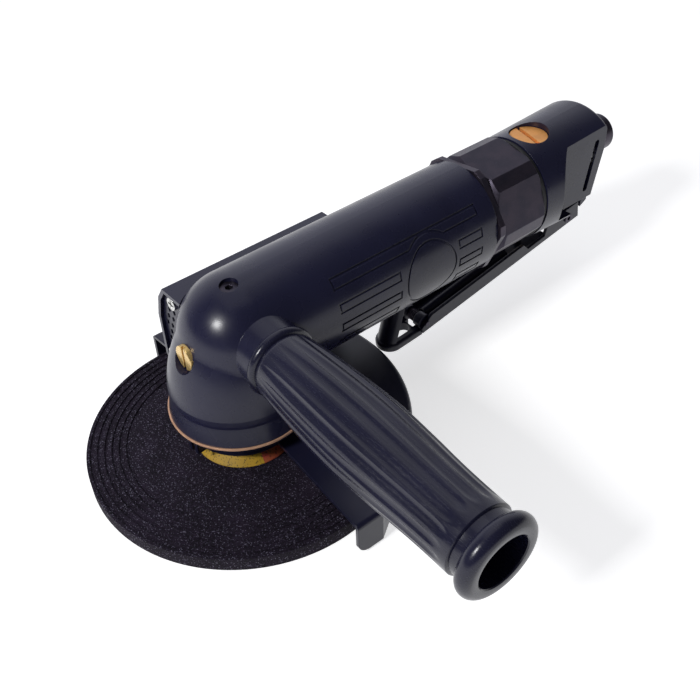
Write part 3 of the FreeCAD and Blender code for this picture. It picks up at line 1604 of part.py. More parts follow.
def make_exhaust_cover():
    """Box on the far side that leads the exhaust forward to the screen."""
    outer = cover_block(0, cover_front_x, cover_rear_x)
    inner = cover_block(cover_wall, cover_front_x - overrun, cover_rear_x - cover_wall)
    walls = outer.cut(inner)
    bosses = [screw_boss(y, z) for y, z in exhaust_screw_places()]
    inside = Part.makeCompound(bosses).common(outer)
    cover = fused([walls] + inside.Solids)
    for hole in exhaust_screw_holes():
        cover = cover.cut(hole)
    return cover.cut(head_outside(cover_joint_gap))


def make_exhaust_screen():
    """Expanded sheet across the cover's front, held by two screws."""
    start = cover_front_x + screen_inset
    end = start + exhaust_screen_thickness
    sheet = cover_block(cover_wall + 2 * seat_gap, start, end)
    sheet = sheet.cut(head_outside(2 * cover_joint_gap))
    cell = prism([(-screen_cell_width / 2, 0), (0, -screen_cell_height / 2), (screen_cell_width / 2, 0),
                  (0, screen_cell_height / 2)], start - overrun, end + overrun, "yz")
    cell.rotate(vec(0, 0, 0), AXIS_X, screen_cell_lean)
    limit = cover_block(cover_wall + screen_rim, start - 2 * overrun, end + 2 * overrun)
    limit = limit.cut(head_outside(2 * cover_joint_gap + screen_rim))
    for y, z in exhaust_screw_places():
        keep = cylinder(screw_boss_radius, start - 3 * overrun, end + 3 * overrun, AXIS_X, vec(0, y, z))
        limit = limit.cut(keep)
    cells = []
    rows = int((cover_top_height - cover_bottom_height) / screen_cell_pitch_z) + 1
    columns = int((cover_outer_y - cover_root_y) / screen_cell_pitch_y) + 1
    for row in range(rows):
        for column in range(columns):
            copy = cell.copy()
            shift = screen_cell_pitch_y / 2 * (row % 2)
            copy.translate(vec(0, cover_root_y + column * screen_cell_pitch_y + shift,
                               cover_bottom_height + row * screen_cell_pitch_z))
            cells.append(copy)
    openings = Part.makeCompound(cells).common(limit)
    sheet = sheet.cut(openings)
    for hole in exhaust_screw_holes():
        sheet = sheet.cut(hole)
    return sheet


def make_exhaust_screws():
    screws = []
    face = cover_front_x + screen_inset
    for y, z in exhaust_screw_places():
        centre = vec(0, y, z)
        shank = cylinder(exhaust_screw_radius, face, face + exhaust_screw_length, AXIS_X, centre)
        head = cylinder(exhaust_screw_head_radius, face - exhaust_screw_head_height, face, AXIS_X, centre)
        screw = fused([shank, head])
        reach = cross_slot_reach
        half = cross_slot_width / 2
        front = face - exhaust_screw_head_height
        for arm_y, arm_z in ((reach, half), (half, reach)):
            screw = screw.cut(block(front - overrun, front + cross_slot_depth, y - arm_y, y + arm_y,
                                    z - arm_z, z + arm_z))
        screws.append(screw)
    return Part.makeCompound(screws)


def main():
    os.makedirs("parts", exist_ok=True)
    save("grinding_wheel", turned(wheel_profile()))
    save("wheel_label", make_label())
    save("inner_flange", make_inner_flange())
    save("flange_nut", make_flange_nut())
    save("spindle", make_spindle())
    save("gear_key", gear_key_block())
    save("driven_gear", make_driven_gear())
    save("pinion_gear", make_pinion())
    save("lower_spindle_bearing", ball_bearing(lower_bearing_radius, lower_seat_radius + running_gap,
                                               lower_bearing_foot, lower_bearing_top, lower_ball_count))
    top = upper_bearing_height + upper_bearing_width
    save("upper_spindle_bearing", ball_bearing(upper_bearing_radius, upper_seat_radius + running_gap,
                                               upper_bearing_height, top, upper_ball_count))
    save("motor_housing", make_housing())
    save("top_screw", make_top_screw())
    save("front_plug", make_front_plug())
    save("head_gasket", make_gasket())
    save("bearing_cap", make_bearing_cap())
    save("spindle_seal", make_spindle_seal())
    save("wheel_guard", make_guard())
    save("guard_clamp_screw", make_clamp_screw())
    make_motor_bearings()
    save("bearing_retainer", make_bearing_retainer())
    save("front_end_plate", make_end_plate(front_plate_start, front_plate_width, front_bearing_radius,
                                           front_bearing_width, rotor_shaft_radius))
    save("cylinder_liner", make_liner())
    save("rotor", make_rotor())
    save("rotor_vanes", make_vanes())
    save("rear_end_plate", make_end_plate(liner_end, rear_plate_width, rear_bearing_radius,
                                          rear_bearing_width, rotor_tail_radius))
    save("motor_gasket", make_motor_gasket())
    save("lock_plate", make_lock_plate())
    save("clamp_nut", make_clamp_nut())
    save("seal_ring", make_seal_ring())
    save("throttle_body", make_throttle_body())
    save("valve_plug", make_valve_plug())
    save("valve_seat", make_valve_seat())
    save("stem_bush", make_stem_bush())
    save("valve_stem", make_valve_stem())
    save("valve_spring", make_valve_spring())
    save("regulator_ring", make_regulator())
    save("inlet_bush", make_inlet_bush())
    save("inlet_screen", make_inlet_screen())
    save("throttle_lever", make_lever())
    save("lever_pin", make_lever_pin())
    save("lock_off_latch", make_latch())
    save("latch_pin", make_latch_pin())
    save("latch_spring", make_latch_spring())
    save("side_grip", make_grip())
    save("grip_bolt", make_grip_bolt())
    save("grip_washer", make_grip_washer())
    save("exhaust_cover", make_exhaust_cover())
    save("exhaust_screen", make_exhaust_screen())
    save("exhaust_screws", make_exhaust_screws())


main()
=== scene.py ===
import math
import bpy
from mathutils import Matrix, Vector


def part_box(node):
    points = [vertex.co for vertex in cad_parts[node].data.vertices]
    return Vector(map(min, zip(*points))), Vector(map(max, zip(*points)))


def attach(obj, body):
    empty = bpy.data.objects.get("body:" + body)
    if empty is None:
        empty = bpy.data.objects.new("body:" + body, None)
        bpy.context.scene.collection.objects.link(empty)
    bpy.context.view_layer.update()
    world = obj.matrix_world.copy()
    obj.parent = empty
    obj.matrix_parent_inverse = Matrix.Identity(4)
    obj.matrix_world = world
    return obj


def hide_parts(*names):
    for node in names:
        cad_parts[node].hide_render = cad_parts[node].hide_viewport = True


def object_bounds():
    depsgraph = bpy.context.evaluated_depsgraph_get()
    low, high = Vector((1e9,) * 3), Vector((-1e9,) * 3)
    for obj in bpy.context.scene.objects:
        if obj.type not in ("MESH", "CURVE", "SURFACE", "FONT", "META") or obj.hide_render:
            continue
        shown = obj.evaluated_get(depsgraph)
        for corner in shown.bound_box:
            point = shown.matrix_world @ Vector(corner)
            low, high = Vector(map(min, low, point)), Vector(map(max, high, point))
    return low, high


bl_info = {
    "name": "Pneumatic Angle Grinder Looks",
    "version": (1, 0, 0),
    "blender": (4, 5, 0),
    "location": "3D View > Sidebar > Grinder",
    "description": "Paints, metals, abrasive, plastic and studio for the packed angle grinder",
    "category": "Object",
}

import bmesh
import bpy
from bpy.props import FloatProperty, FloatVectorProperty, IntProperty, PointerProperty
from mathutils import Matrix, Vector

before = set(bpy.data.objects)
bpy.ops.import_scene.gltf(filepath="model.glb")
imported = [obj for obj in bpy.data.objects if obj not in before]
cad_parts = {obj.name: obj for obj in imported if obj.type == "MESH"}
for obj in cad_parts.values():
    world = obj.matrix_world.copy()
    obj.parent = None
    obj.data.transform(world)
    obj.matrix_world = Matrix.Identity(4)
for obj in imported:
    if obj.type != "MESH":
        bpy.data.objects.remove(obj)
cad_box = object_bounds()

MM = 0.001
UP = Vector((0, 0, 1))

# Lines of the side grip, in metres from the centre of the gear head
GRIP_BASE = Vector((3.6, 0, 58.2)) * MM
GRIP_SWEEP = math.radians(1.50)
GRIP_DROOP = math.radians(1.60)


def color_property(name, description, default):
    return FloatVectorProperty(name=name, description=description, subtype="COLOR", size=3, min=0, max=1,
                               default=default)


def share_property(name, description, default):
    return FloatProperty(name=name, description=description, subtype="FACTOR", min=0, max=1, default=default)


def length_property(name, description, default):
    return FloatProperty(name=name, description=description, unit="LENGTH", precision=5, default=default)


def angle_property(name, description, default):
    return FloatProperty(name=name, description=description, subtype="ANGLE", default=default)


class GrinderPaints(bpy.types.PropertyGroup):
    """Stoved paints of the castings and of the pressed sheet parts."""

    casting: color_property("Casting paint", "Navy black of the gear head, barrel and rear body",
                            (0.0120, 0.0122, 0.0350))
    casting_sheen: share_property("Casting roughness", "How soft the castings' highlights are", 0.27)
    sheet: color_property("Sheet paint", "Black of the guard, lever and latch", (0.0095, 0.0096, 0.0270))
    sheet_sheen: share_property("Sheet roughness", "How soft the sheet parts' highlights are", 0.30)
    peel: length_property("Orange peel", "Size of the paint's waviness", 0.0012)
    casting_edge: length_property("Casting edge", "Radius at which the castings' edges catch light", 0.00025)
    sheet_edge: length_property("Sheet edge", "Radius at which the sheet parts' edges catch light", 0.0006)


class GrinderMetals(bpy.types.PropertyGroup):
    """Bare and plated metals."""

    oxide: color_property("Oxide steel", "Brown black of the clamp nut and lock plate", (0.047, 0.042, 0.064))
    steel: color_property("Bright steel", "Ground shafts, pins, springs and bearings", (0.50, 0.50, 0.51))
    gear: color_property("Gear steel", "Hardened gears and rotor", (0.30, 0.285, 0.27))
    zinc: color_property("Zinc plate", "Cross-slotted screws", (0.66, 0.66, 0.64))
    brass: color_property("Brass", "Front plug, stem bush and inlet screen", (0.86, 0.60, 0.23))
    gold: color_property("Gold plate", "Slotted valve plug", (0.92, 0.42, 0.12))
    copper: color_property("Copper", "Flat gasket under the gear head", (0.80, 0.47, 0.30))
    aluminium: color_property("Aluminium", "End plates and flow ring", (0.55, 0.56, 0.58))
    grain: length_property("Machining grain", "Size of the fine turning marks", 0.0005)


class GrinderWheel(bpy.types.PropertyGroup):
    """Resin-bonded abrasive and its printed disc."""

    resin: color_property("Resin", "Dark binder between the grains", (0.0040, 0.0026, 0.0068))
    grit: color_property("Grit", "Colour of most grains", (0.0250, 0.0165, 0.0340))
    # painted glint: this light grey goes into a few grains' base colour to stand for glints on their facets
    painted_glint: color_property("Sparkle", "Clean facets that catch light", (0.15, 0.14, 0.20))
    grit_size: length_property("Grit size", "Width of one grain", 0.00032)
    paper: color_property("Print", "Yellow of the printed disc", (0.50, 0.30, 0.016))
    paper_accent: color_property("Print accent", "Red field of the printed disc", (0.42, 0.050, 0.038))
    accent_start: angle_property("Accent start", "Where the red field begins round the disc",
                                 math.radians(-104))
    accent_end: angle_property("Accent end", "Where the red field ends round the disc", math.radians(-30))


class GrinderGrip(bpy.types.PropertyGroup):
    """Moulded side grip."""

    plastic: color_property("Plastic", "Glossy black moulding", (0.0115, 0.0117, 0.0300))
    gloss: share_property("Roughness", "How soft the grip's highlights are", 0.23)
    flutes: IntProperty(name="Flutes", description="Long hollows round the grip", min=6, max=36, default=18)
    flute_radius: length_property("Flute radius", "Radius of the hollows' round section", 0.0036)
    flute_depth: length_property("Flute depth", "Depth of the hollows at the belly", 0.00064)
    flute_phase: angle_property("Flute phase", "Turn of the first flute", math.radians(2.0))
    edge_round: length_property("Flute edge", "Softness of the edge between flute and land", 0.00012)


class GrinderStage(bpy.types.PropertyGroup):
    """Pale floor, soft lamps and the view of the photograph."""

    floor_radius: length_property("Floor radius", "Radius of the plain floor", 4.0)
    floor_color: color_property("Floor", "Plain pale floor", (0.80, 0.80, 0.80))
    view_azimuth: angle_property("View azimuth", "Turn of the camera round the object",
                                 math.radians(-36.61005))
    view_elevation: angle_property("View elevation", "Height of the camera", math.radians(42.57045))
    view_roll: angle_property("View roll", "Lean of the camera", math.radians(-3.62957))
    view_distance: length_property("View distance", "Distance from the wheel's plane", 0.3703373)


SETTINGS = (
    ("grinder_paints", GrinderPaints),
    ("grinder_metals", GrinderMetals),
    ("grinder_wheel", GrinderWheel),
    ("grinder_grip", GrinderGrip),
    ("grinder_stage", GrinderStage),
)


class Finish:
    """A material with one Principled shader, and short calls that add to it."""

    def __init__(self, name, color, roughness, metallic=0.0, refraction=1.5):
        self.material = bpy.data.materials.new(name)
        self.material.use_nodes = True
        self.nodes = self.material.node_tree.nodes
        self.links = self.material.node_tree.links
        self.shader = self.nodes["Principled BSDF"]
        self.shader.inputs["Base Color"].default_value = (*color, 1)
        self.shader.inputs["Roughness"].default_value = roughness
        self.shader.inputs["Metallic"].default_value = metallic
        self.shader.inputs["IOR"].default_value = refraction
        self.place = self.nodes.new("ShaderNodeTexCoord").outputs["Object"]

    def node(self, kind, inputs=None, **settings):
        """Add a node; inputs are sockets to link or plain values."""
        made = self.nodes.new("ShaderNode" + kind)
        for key, value in settings.items():
            setattr(made, key, value)
        for key, value in (inputs or {}).items():
            if isinstance(value, bpy.types.NodeSocket):
                self.links.new(value, made.inputs[key])
            else:
                made.inputs[key].default_value = value
        return made

    def noise(self, size, detail=3.0, place=None):
        made = self.node("TexNoise", {"Vector": place or self.place, "Scale": 1 / size, "Detail": detail})
        return made.outputs[0]

    def cells(self, size, feature="F1", place=None):
        return self.node("TexVoronoi", {"Vector": place or self.place, "Scale": 1 / size}, feature=feature)

    def stretched(self, scale, rotation=(0, 0, 0)):
        made = self.node("Mapping", {"Vector": self.place, "Scale": scale, "Rotation": rotation})
        return made.outputs[0]

    def remap(self, value, low, high, out_low=0.0, out_high=1.0):
        made = self.node("MapRange", {"Value": value, "From Min": low, "From Max": high, "To Min": out_low,
                                      "To Max": out_high})
        return made.outputs[0]

    def math(self, operation, first, second=0.0):
        return self.node("Math", {0: first, 1: second}, operation=operation).outputs[0]

    def blend(self, factor, first, second):
        made = self.node("Mix", {0: factor}, data_type="RGBA")
        for key, value in ((6, first), (7, second)):
            if isinstance(value, bpy.types.NodeSocket):
                self.links.new(value, made.inputs[key])
            else:
                made.inputs[key].default_value = (*value, 1)
        return made.outputs[2]

    def set(self, key, socket):
        self.links.new(socket, self.shader.inputs[key])

    def bump(self, height, distance, strength=1.0, edge=0.0):
        """Raise the surface by a height pattern, with edges rounded where they meet the light."""
        inputs = {"Height": height, "Distance": distance, "Strength": strength}
        if edge > 0:
            inputs["Normal"] = self.node("Bevel", {"Radius": edge}, samples=6).outputs[0]
        self.set("Normal", self.node("Bump", inputs).outputs[0])


def dress(finish, *names):
    """Give a finish to CAD nodes."""
    for name in names:
        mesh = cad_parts[name].data
        mesh.materials.clear()
        mesh.materials.append(finish.material)


def tint(color, share):
    return tuple(min(1.0, channel * share) for channel in color)


def paint_finish(name, color, roughness, peel_size, edge):
    """Stoved paint: orange peel, slow shade drift and dust-dulled patches."""
    finish = Finish(name, color, roughness, refraction=1.42)
    drift = finish.noise(30 * MM, 2)
    fine = finish.noise(0.35 * MM, 4)
    shade = finish.blend(finish.remap(drift, 0.35, 0.65), tint(color, 0.88), tint(color, 1.14))
    finish.set("Base Color", finish.blend(finish.remap(fine, 0.55, 0.80, 0, 0.35), shade, tint(color, 1.6)))
    worn = finish.noise(9 * MM, 3)
    finish.set("Roughness", finish.remap(worn, 0.3, 0.7, roughness - 0.03, roughness + 0.05))
    peel = finish.math("ADD", finish.noise(peel_size, 2), finish.math("MULTIPLY", fine, 0.22))
    finish.bump(peel, 0.016 * MM, 0.5, edge)
    return finish


def steel_finish(name, color, roughness, grain, edge=0.3 * MM, spread=0.12, metallic=1.0):
    """Machined metal: fine turning lines, patches of polish and rounded edges."""
    finish = Finish(name, color, roughness, metallic)
    lines = finish.noise(grain, 3, finish.stretched((1.0, 0.12, 1.0)))
    patches = finish.noise(6 * MM, 4)
    shade = finish.blend(finish.remap(patches, 0.3, 0.7), tint(color, 0.82), tint(color, 1.12))
    finish.set("Base Color", finish.blend(finish.remap(lines, 0.4, 0.75, 0, 0.3), shade, tint(color, 0.7)))
    finish.set("Roughness", finish.remap(patches, 0.3, 0.7, roughness - spread / 2, roughness + spread / 2))
    finish.bump(lines, 0.006 * MM, 0.5, edge)
    return finish


def oxide_finish(name, color, roughness, grain):
    """Blackened steel with a brown cast, lighter specks and rounded edges that catch light."""
    finish = Finish(name, color, roughness, 0.75)
    patches = finish.noise(7 * MM, 5)
    specks = finish.noise(0.5 * MM, 4)
    brown = (color[0] * 1.12, color[1] * 1.02, color[2] * 0.96)
    shade = finish.blend(finish.remap(patches, 0.4, 0.62), tint(color, 0.8), brown)
    finish.set("Base Color", finish.blend(finish.remap(specks, 0.56, 0.74, 0, 0.45), shade, tint(color, 1.8)))
    finish.set("Roughness", finish.remap(specks, 0.35, 0.7, roughness - 0.06, roughness + 0.10))
    lines = finish.noise(grain, 2, finish.stretched((0.3, 1.0, 1.0)))
    finish.bump(finish.math("ADD", lines, specks), 0.008 * MM, 0.6, 0.45 * MM)
    return finish


def cast_brass_finish(name, color, roughness, dent):
    """Soft yellow metal with small dents that scatter its highlights."""
    finish = Finish(name, color, roughness, 0.6)
    dents = finish.cells(dent).outputs["Distance"]
    fine = finish.noise(0.4 * MM, 4)
    finish.set("Base Color", finish.blend(finish.remap(fine, 0.4, 0.72), color, tint(color, 0.62)))
    finish.set("Roughness", finish.remap(fine, 0.3, 0.7, roughness - 0.06, roughness + 0.10))
    finish.bump(finish.math("ADD", dents, finish.math("MULTIPLY", fine, 0.4)), 0.05 * MM, 0.4, 0.5 * MM)
    return finish


def abrasive_finish(settings):
    """Grains bonded in resin; a few grains get a lighter base colour as a painted glint, and a real lower
    roughness.
    """
    finish = Finish("bonded_abrasive", settings.grit, 0.82, refraction=1.30)
    grains = finish.cells(settings.grit_size)
    coarse = finish.cells(settings.grit_size * 2.2)
    chance = finish.node("SeparateColor", {"Color": grains.outputs["Color"]}).outputs
    dust = finish.noise(12 * MM, 4)
    tone = finish.blend(finish.remap(chance[0], 0.35, 0.95), settings.resin, settings.grit)
    tone = finish.blend(finish.remap(dust, 0.45, 0.75, 0, 0.45), tone, tint(settings.grit, 1.25))
    # painted glint: these grains take the glint colour as their base colour; their lower roughness on the
    # next line is a real gloss
    glint_grains = finish.remap(chance[1], 0.90, 0.99)
    finish.set("Base Color", finish.blend(glint_grains, tone, settings.painted_glint))
    finish.set("Roughness", finish.remap(chance[1], 0.94, 0.99, 0.85, 0.40))
    lumps = finish.math("MULTIPLY", coarse.outputs["Distance"], 0.7)
    height = finish.math("ADD", grains.outputs["Distance"], lumps)
    finish.bump(height, 0.22 * MM, 0.9, 0.5 * MM)
    return finish


def print_finish(settings):
    """Printed paper: yellow with one red field, darker stains and grit showing through."""
    finish = Finish("printed_disc", settings.paper, 0.62)
    x, y, z = finish.node("SeparateXYZ", {0: finish.place}).outputs
    angle = finish.math("ARCTAN2", y, x)
    inside = finish.math("MULTIPLY", finish.math("GREATER_THAN", angle, settings.accent_start),
                         finish.math("LESS_THAN", angle, settings.accent_end))
    specks = finish.noise(0.7 * MM, 5)
    tone = finish.blend(inside, settings.paper, settings.paper_accent)
    stains = finish.remap(finish.noise(5 * MM, 3), 0.35, 0.7, 0, 0.5)
    tone = finish.blend(stains, tone, tint(settings.paper, 0.72))
    finish.set("Base Color", finish.blend(finish.remap(specks, 0.56, 0.66, 0, 0.85), tone, settings.resin))
    finish.bump(specks, 0.05 * MM, 0.5)
    return finish


def plastic_finish(settings):
    """Moulded gloss: slow flow shades, a faint skin and fine handling scratches."""
    finish = Finish("moulded_gloss", settings.plastic, settings.gloss, refraction=1.45)
    flow = finish.noise(16 * MM, 2)
    skin = finish.noise(0.8 * MM, 3)
    scratches = finish.noise(0.5 * MM, 4, finish.stretched((1.0, 0.25, 1.0), (0.3, 0.2, 0.4)))
    streaks = finish.remap(flow, 0.35, 0.68)
    tone = finish.blend(streaks, tint(settings.plastic, 0.90), tint(settings.plastic, 1.12))
    marks = finish.remap(scratches, 0.66, 0.76, 0, 0.5)
    finish.set("Base Color", finish.blend(marks, tone, tint(settings.plastic, 2.0)))
    rough = finish.remap(scratches, 0.45, 0.75, settings.gloss, settings.gloss + 0.09)
    finish.set("Roughness", rough)
    finish.bump(finish.math("ADD", skin, finish.math("MULTIPLY", scratches, 0.2)), 0.008 * MM, 0.5)
    return finish


def soft_finish(name, color, roughness, size, depth):
    """Rubber, felt and resin cloth: matt with a small grain."""
    finish = Finish(name, color, roughness)
    grain = finish.noise(size, 4)
    finish.set("Base Color", finish.blend(finish.remap(grain, 0.3, 0.7), tint(color, 0.7), tint(color, 1.3)))
    finish.set("Roughness", finish.remap(grain, 0.3, 0.7, roughness - 0.08, roughness + 0.05))
    finish.bump(grain, depth, 0.6)
    return finish


class GRINDER_OT_castings(bpy.types.Operator):
    """Paint the gear head, barrel, exhaust cover and rear body"""

    bl_idname = "grinder.castings"
    bl_label = "Paint Castings"

    def execute(self, context):
        paints = context.scene.grinder_paints
        finish = paint_finish("casting_paint", paints.casting, paints.casting_sheen, paints.peel,
                              paints.casting_edge)
        dress(finish, "motor_housing", "exhaust_cover", "throttle_body")
        return {"FINISHED"}


class GRINDER_OT_sheet_parts(bpy.types.Operator):
    """Paint the guard, throttle lever, latch and exhaust screen"""

    bl_idname = "grinder.sheet_parts"
    bl_label = "Paint Sheet Parts"

    def execute(self, context):
        paints = context.scene.grinder_paints
        finish = paint_finish("sheet_paint", paints.sheet, paints.sheet_sheen, paints.peel, paints.sheet_edge)
        dress(finish, "wheel_guard", "throttle_lever", "lock_off_latch", "exhaust_screen", "bearing_cap")
        return {"FINISHED"}


class GRINDER_OT_dark_steel(bpy.types.Operator):
    """Blacken the clamp nut, lock plate, flanges, inlet and socket screws"""

    bl_idname = "grinder.dark_steel"
    bl_label = "Blacken Steel Parts"

    def execute(self, context):
        metals = context.scene.grinder_metals
        finish = oxide_finish("oxide_steel", metals.oxide, 0.36, metals.grain)
        dress(finish, "clamp_nut", "lock_plate", "inner_flange", "flange_nut", "top_screw", "inlet_bush",
              "guard_clamp_screw", "grip_bolt", "bearing_retainer", "lever_pin", "latch_pin", "latch_spring")
        return {"FINISHED"}


class GRINDER_OT_bright_steel(bpy.types.Operator):
    """Polish shafts, bearings, gears, pins, springs and plated screws"""

    bl_idname = "grinder.bright_steel"
    bl_label = "Polish Steel Parts"

    def execute(self, context):
        metals = context.scene.grinder_metals
        bright = steel_finish("bright_steel", metals.steel, 0.24, metals.grain)
        dress(bright, "spindle", "gear_key", "lower_spindle_bearing", "upper_spindle_bearing",
              "pinion_bearing", "rotor_front_bearing", "rotor_rear_bearing", "cylinder_liner", "valve_stem",
              "valve_spring", "grip_washer")
        gear = steel_finish("gear_steel", metals.gear, 0.34, metals.grain)
        dress(gear, "driven_gear", "pinion_gear", "rotor")
        dress(steel_finish("zinc_plate", metals.zinc, 0.30, metals.grain), "exhaust_screws")
        light = steel_finish("turned_aluminium", metals.aluminium, 0.34, metals.grain)
        dress(light, "front_end_plate", "rear_end_plate", "regulator_ring")
        return {"FINISHED"}


class GRINDER_OT_yellow_metal(bpy.types.Operator):
    """Finish the brass plug, gold valve plug, stem bush, inlet screen and copper gasket"""

    bl_idname = "grinder.yellow_metal"
    bl_label = "Finish Yellow Metals"

    def execute(self, context):
        metals = context.scene.grinder_metals
        dress(cast_brass_finish("hammered_brass", metals.brass, 0.22, 1.6 * MM), "front_plug")
        dress(steel_finish("turned_brass", metals.brass, 0.30, metals.grain), "stem_bush", "inlet_screen")
        dress(steel_finish("gold_plate", metals.gold, 0.48, metals.grain, metallic=0.35), "valve_plug")
        dress(steel_finish("soft_copper", metals.copper, 0.44, metals.grain, metallic=0.4), "head_gasket")
        return {"FINISHED"}


class GRINDER_OT_wheel(bpy.types.Operator):
    """Give the grinding wheel its grains and its printed disc"""

    bl_idname = "grinder.wheel"
    bl_label = "Finish Grinding Wheel"

    def execute(self, context):
        settings = context.scene.grinder_wheel
        dress(abrasive_finish(settings), "grinding_wheel")
        dress(print_finish(settings), "wheel_label")
        return {"FINISHED"}


class GRINDER_OT_seals(bpy.types.Operator):
    """Finish the rubber rings, felt seal and rotor vanes"""

    bl_idname = "grinder.seals"
    bl_label = "Finish Seals and Vanes"

    def execute(self, context):
        dress(soft_finish("black_rubber", (0.012, 0.012, 0.014), 0.62, 0.6 * MM, 0.03 * MM),
              "seal_ring", "motor_gasket", "valve_seat")
        dress(soft_finish("pressed_felt", (0.22, 0.19, 0.15), 0.92, 0.4 * MM, 0.12 * MM), "spindle_seal")
        dress(soft_finish("resin_cloth", (0.22, 0.12, 0.055), 0.55, 0.5 * MM, 0.03 * MM), "rotor_vanes")
        return {"FINISHED"}


def smooth_line(points):
    """A smooth curve through (radius, station) points, as a function of station."""
    slopes = []
    for index in range(len(points)):
        low = points[max(index - 1, 0)]
        high = points[min(index + 1, len(points) - 1)]
        slopes.append((high[0] - low[0]) / (high[1] - low[1]))

    def radius_at(station):
        for index in range(len(points) - 1):
            first, last = points[index], points[index + 1]
            if station <= last[1] or index == len(points) - 2:
                run = last[1] - first[1]
                t = (station - first[1]) / run
                return (first[0] * (1 + 2 * t) * (1 - t) ** 2 + slopes[index] * run * t * (1 - t) ** 2
                        + last[0] * t * t * (3 - 2 * t) + slopes[index + 1] * run * t * t * (t - 1))
        return points[-1][0]

    return radius_at


def arc_line(start, middle, end, steps):
    """Points on the circle through three (radius, station) points."""
    a, b, c = (complex(*p) for p in (start, middle, end))
    w = (c - a) / (b - a)
    centre = (b - a) * (w - abs(w) ** 2) / (2j * w.imag) + a
    turn = [math.atan2((p - centre).imag, (p - centre).real) for p in (a, b, c)]
    sweep = turn[2] - turn[0]
    if not min(turn[0], turn[2]) < turn[1] < max(turn[0], turn[2]):
        sweep -= math.copysign(2 * math.pi, sweep)
    radius = abs(a - centre)
    points = []
    for step in range(steps + 1):
        angle = turn[0] + sweep * step / steps
        points.append((centre.real + radius * math.cos(angle), centre.imag + radius * math.sin(angle)))
    return points


BELLY = ((12.7, 29.3), (14.4, 50.0), (15.2, 73.0), (14.5, 90.0), (13.7, 102.0), (13.3, 111.0), (13.1, 122.4))
FLUTE_END = 118.8
LEAD_LENGTH = 22.0
SCOOP_LENGTH = 5.5
NECK_RADIUS = 12.2
RING_ARC = ((12.4, 24.5), (13.8, 26.3), (12.4, 28.2))
RIM_ARC = ((12.2, 126.0), (15.1, 129.3), (12.5, 132.6))
MOUTH_RADIUS = 9.7
POCKET_RADIUS = 9.4
POCKET_END = 49.6
POCKET_FLOOR = 41.0
BOLT_WAY = 5.03
BELLY_STEPS = 72
ARC_STEPS = 14
FLUTE_COLUMNS = 20


def flute_depth_at(station, settings):
    """Depth of the hollows along the belly: a long lead in, and a short scoop at the rim."""
    lead = min(1.0, max(0.0, (station - BELLY[0][1]) / LEAD_LENGTH))
    scoop = min(1.0, max(0.0, (FLUTE_END - station) / SCOOP_LENGTH))
    share = math.sin(lead * math.pi / 2) * math.sqrt(max(0.0, 1 - (1 - scoop) ** 2))
    return settings.flute_depth / MM * share


def fluted_radius(radius, station, offset, settings):
    """Radius of the land or of the hollow, with a soft edge between them."""
    depth = flute_depth_at(station, settings)
    hollow = settings.flute_radius / MM
    centre = radius + hollow - depth
    side = centre * math.sin(offset)
    if depth <= 0 or abs(side) >= hollow:
        return radius
    floor = centre * math.cos(offset) - math.sqrt(hollow ** 2 - side ** 2)
    soft = settings.edge_round / MM
    gap = (radius - floor) / soft
    if gap > 20:
        return floor
    return floor - soft * math.log(1 + math.exp(-gap)) + soft * math.log(2) * math.exp(-abs(gap))


def grip_outline():
    """Half section of the grip from the ring, over the belly and rim, and back along the bore."""
    belly = smooth_line(BELLY)
    start, end = BELLY[0][1], BELLY[-1][1]
    outline = [(BOLT_WAY, RING_ARC[0][1])]
    outline += arc_line(*RING_ARC, ARC_STEPS)
    outline += [(NECK_RADIUS - 0.2, 28.4), (NECK_RADIUS - 0.2, 28.7), (BELLY[0][0] - 0.3, 28.9)]
    for step in range(BELLY_STEPS + 1):
        station = start + (end - start) * step / BELLY_STEPS
        outline.append((belly(station), station))
    outline += [(BELLY[-1][0] - 0.25, 122.7), (NECK_RADIUS, 123.0), (NECK_RADIUS - 0.1, 124.6)]
    outline += arc_line(*RIM_ARC, 2 * ARC_STEPS)
    outline += [(MOUTH_RADIUS + 1.2, 132.6), (MOUTH_RADIUS + 0.35, 132.5), (MOUTH_RADIUS, 132.1)]
    outline += [(MOUTH_RADIUS, POCKET_END), (POCKET_RADIUS, POCKET_END), (POCKET_RADIUS, POCKET_FLOOR),
                (BOLT_WAY, POCKET_FLOOR)]
    return outline


def grip_direction():
    return Vector((-math.tan(GRIP_SWEEP), -1, -math.tan(GRIP_DROOP))).normalized()


def build_grip(settings):
    """Mesh of the fluted grip, in place on the gear head's boss."""
    outline = grip_outline()
    start = BELLY[0][1]
    sector = 2 * math.pi / settings.flutes
    lay = UP.rotation_difference(grip_direction()).to_matrix()
    mesh = bmesh.new()
    rings = []
    for radius, station in outline:
        ring = []
        for column in range(settings.flutes * FLUTE_COLUMNS):
            flute, step = divmod(column, FLUTE_COLUMNS)
            offset = (step / FLUTE_COLUMNS - 0.5) * sector
            angle = settings.flute_phase + flute * sector + offset
            reach = radius
            if start < station < FLUTE_END and radius > NECK_RADIUS:
                reach = fluted_radius(radius, station, offset, settings)
            local = Vector((reach * math.cos(angle), reach * math.sin(angle), station)) * MM
            ring.append(mesh.verts.new(GRIP_BASE + lay @ local))
        rings.append(ring)
    close_rings(mesh, rings)
    return mesh


def close_rings(mesh, rings):
    """Join a closed series of rings with faces that look outwards."""
    count = len(rings[0])
    for low, high in zip(rings, rings[1:] + rings[:1]):
        for column in range(count):
            after = (column + 1) % count
            mesh.faces.new((low[column], low[after], high[after], high[column]))
    bmesh.ops.recalc_face_normals(mesh, faces=mesh.faces)


def piece_from(mesh, name, finish, body, smooth_angle=math.radians(35)):
    """Turn a bmesh into a smooth-shaded piece that rides on a body."""
    data = bpy.data.meshes.new(name)
    mesh.to_mesh(data)
    mesh.free()
    data.shade_smooth()
    data.set_sharp_from_angle(angle=smooth_angle)
    data.materials.append(finish.material)
    piece = bpy.data.objects.new(name, data)
    bpy.context.scene.collection.objects.link(piece)
    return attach(piece, body)


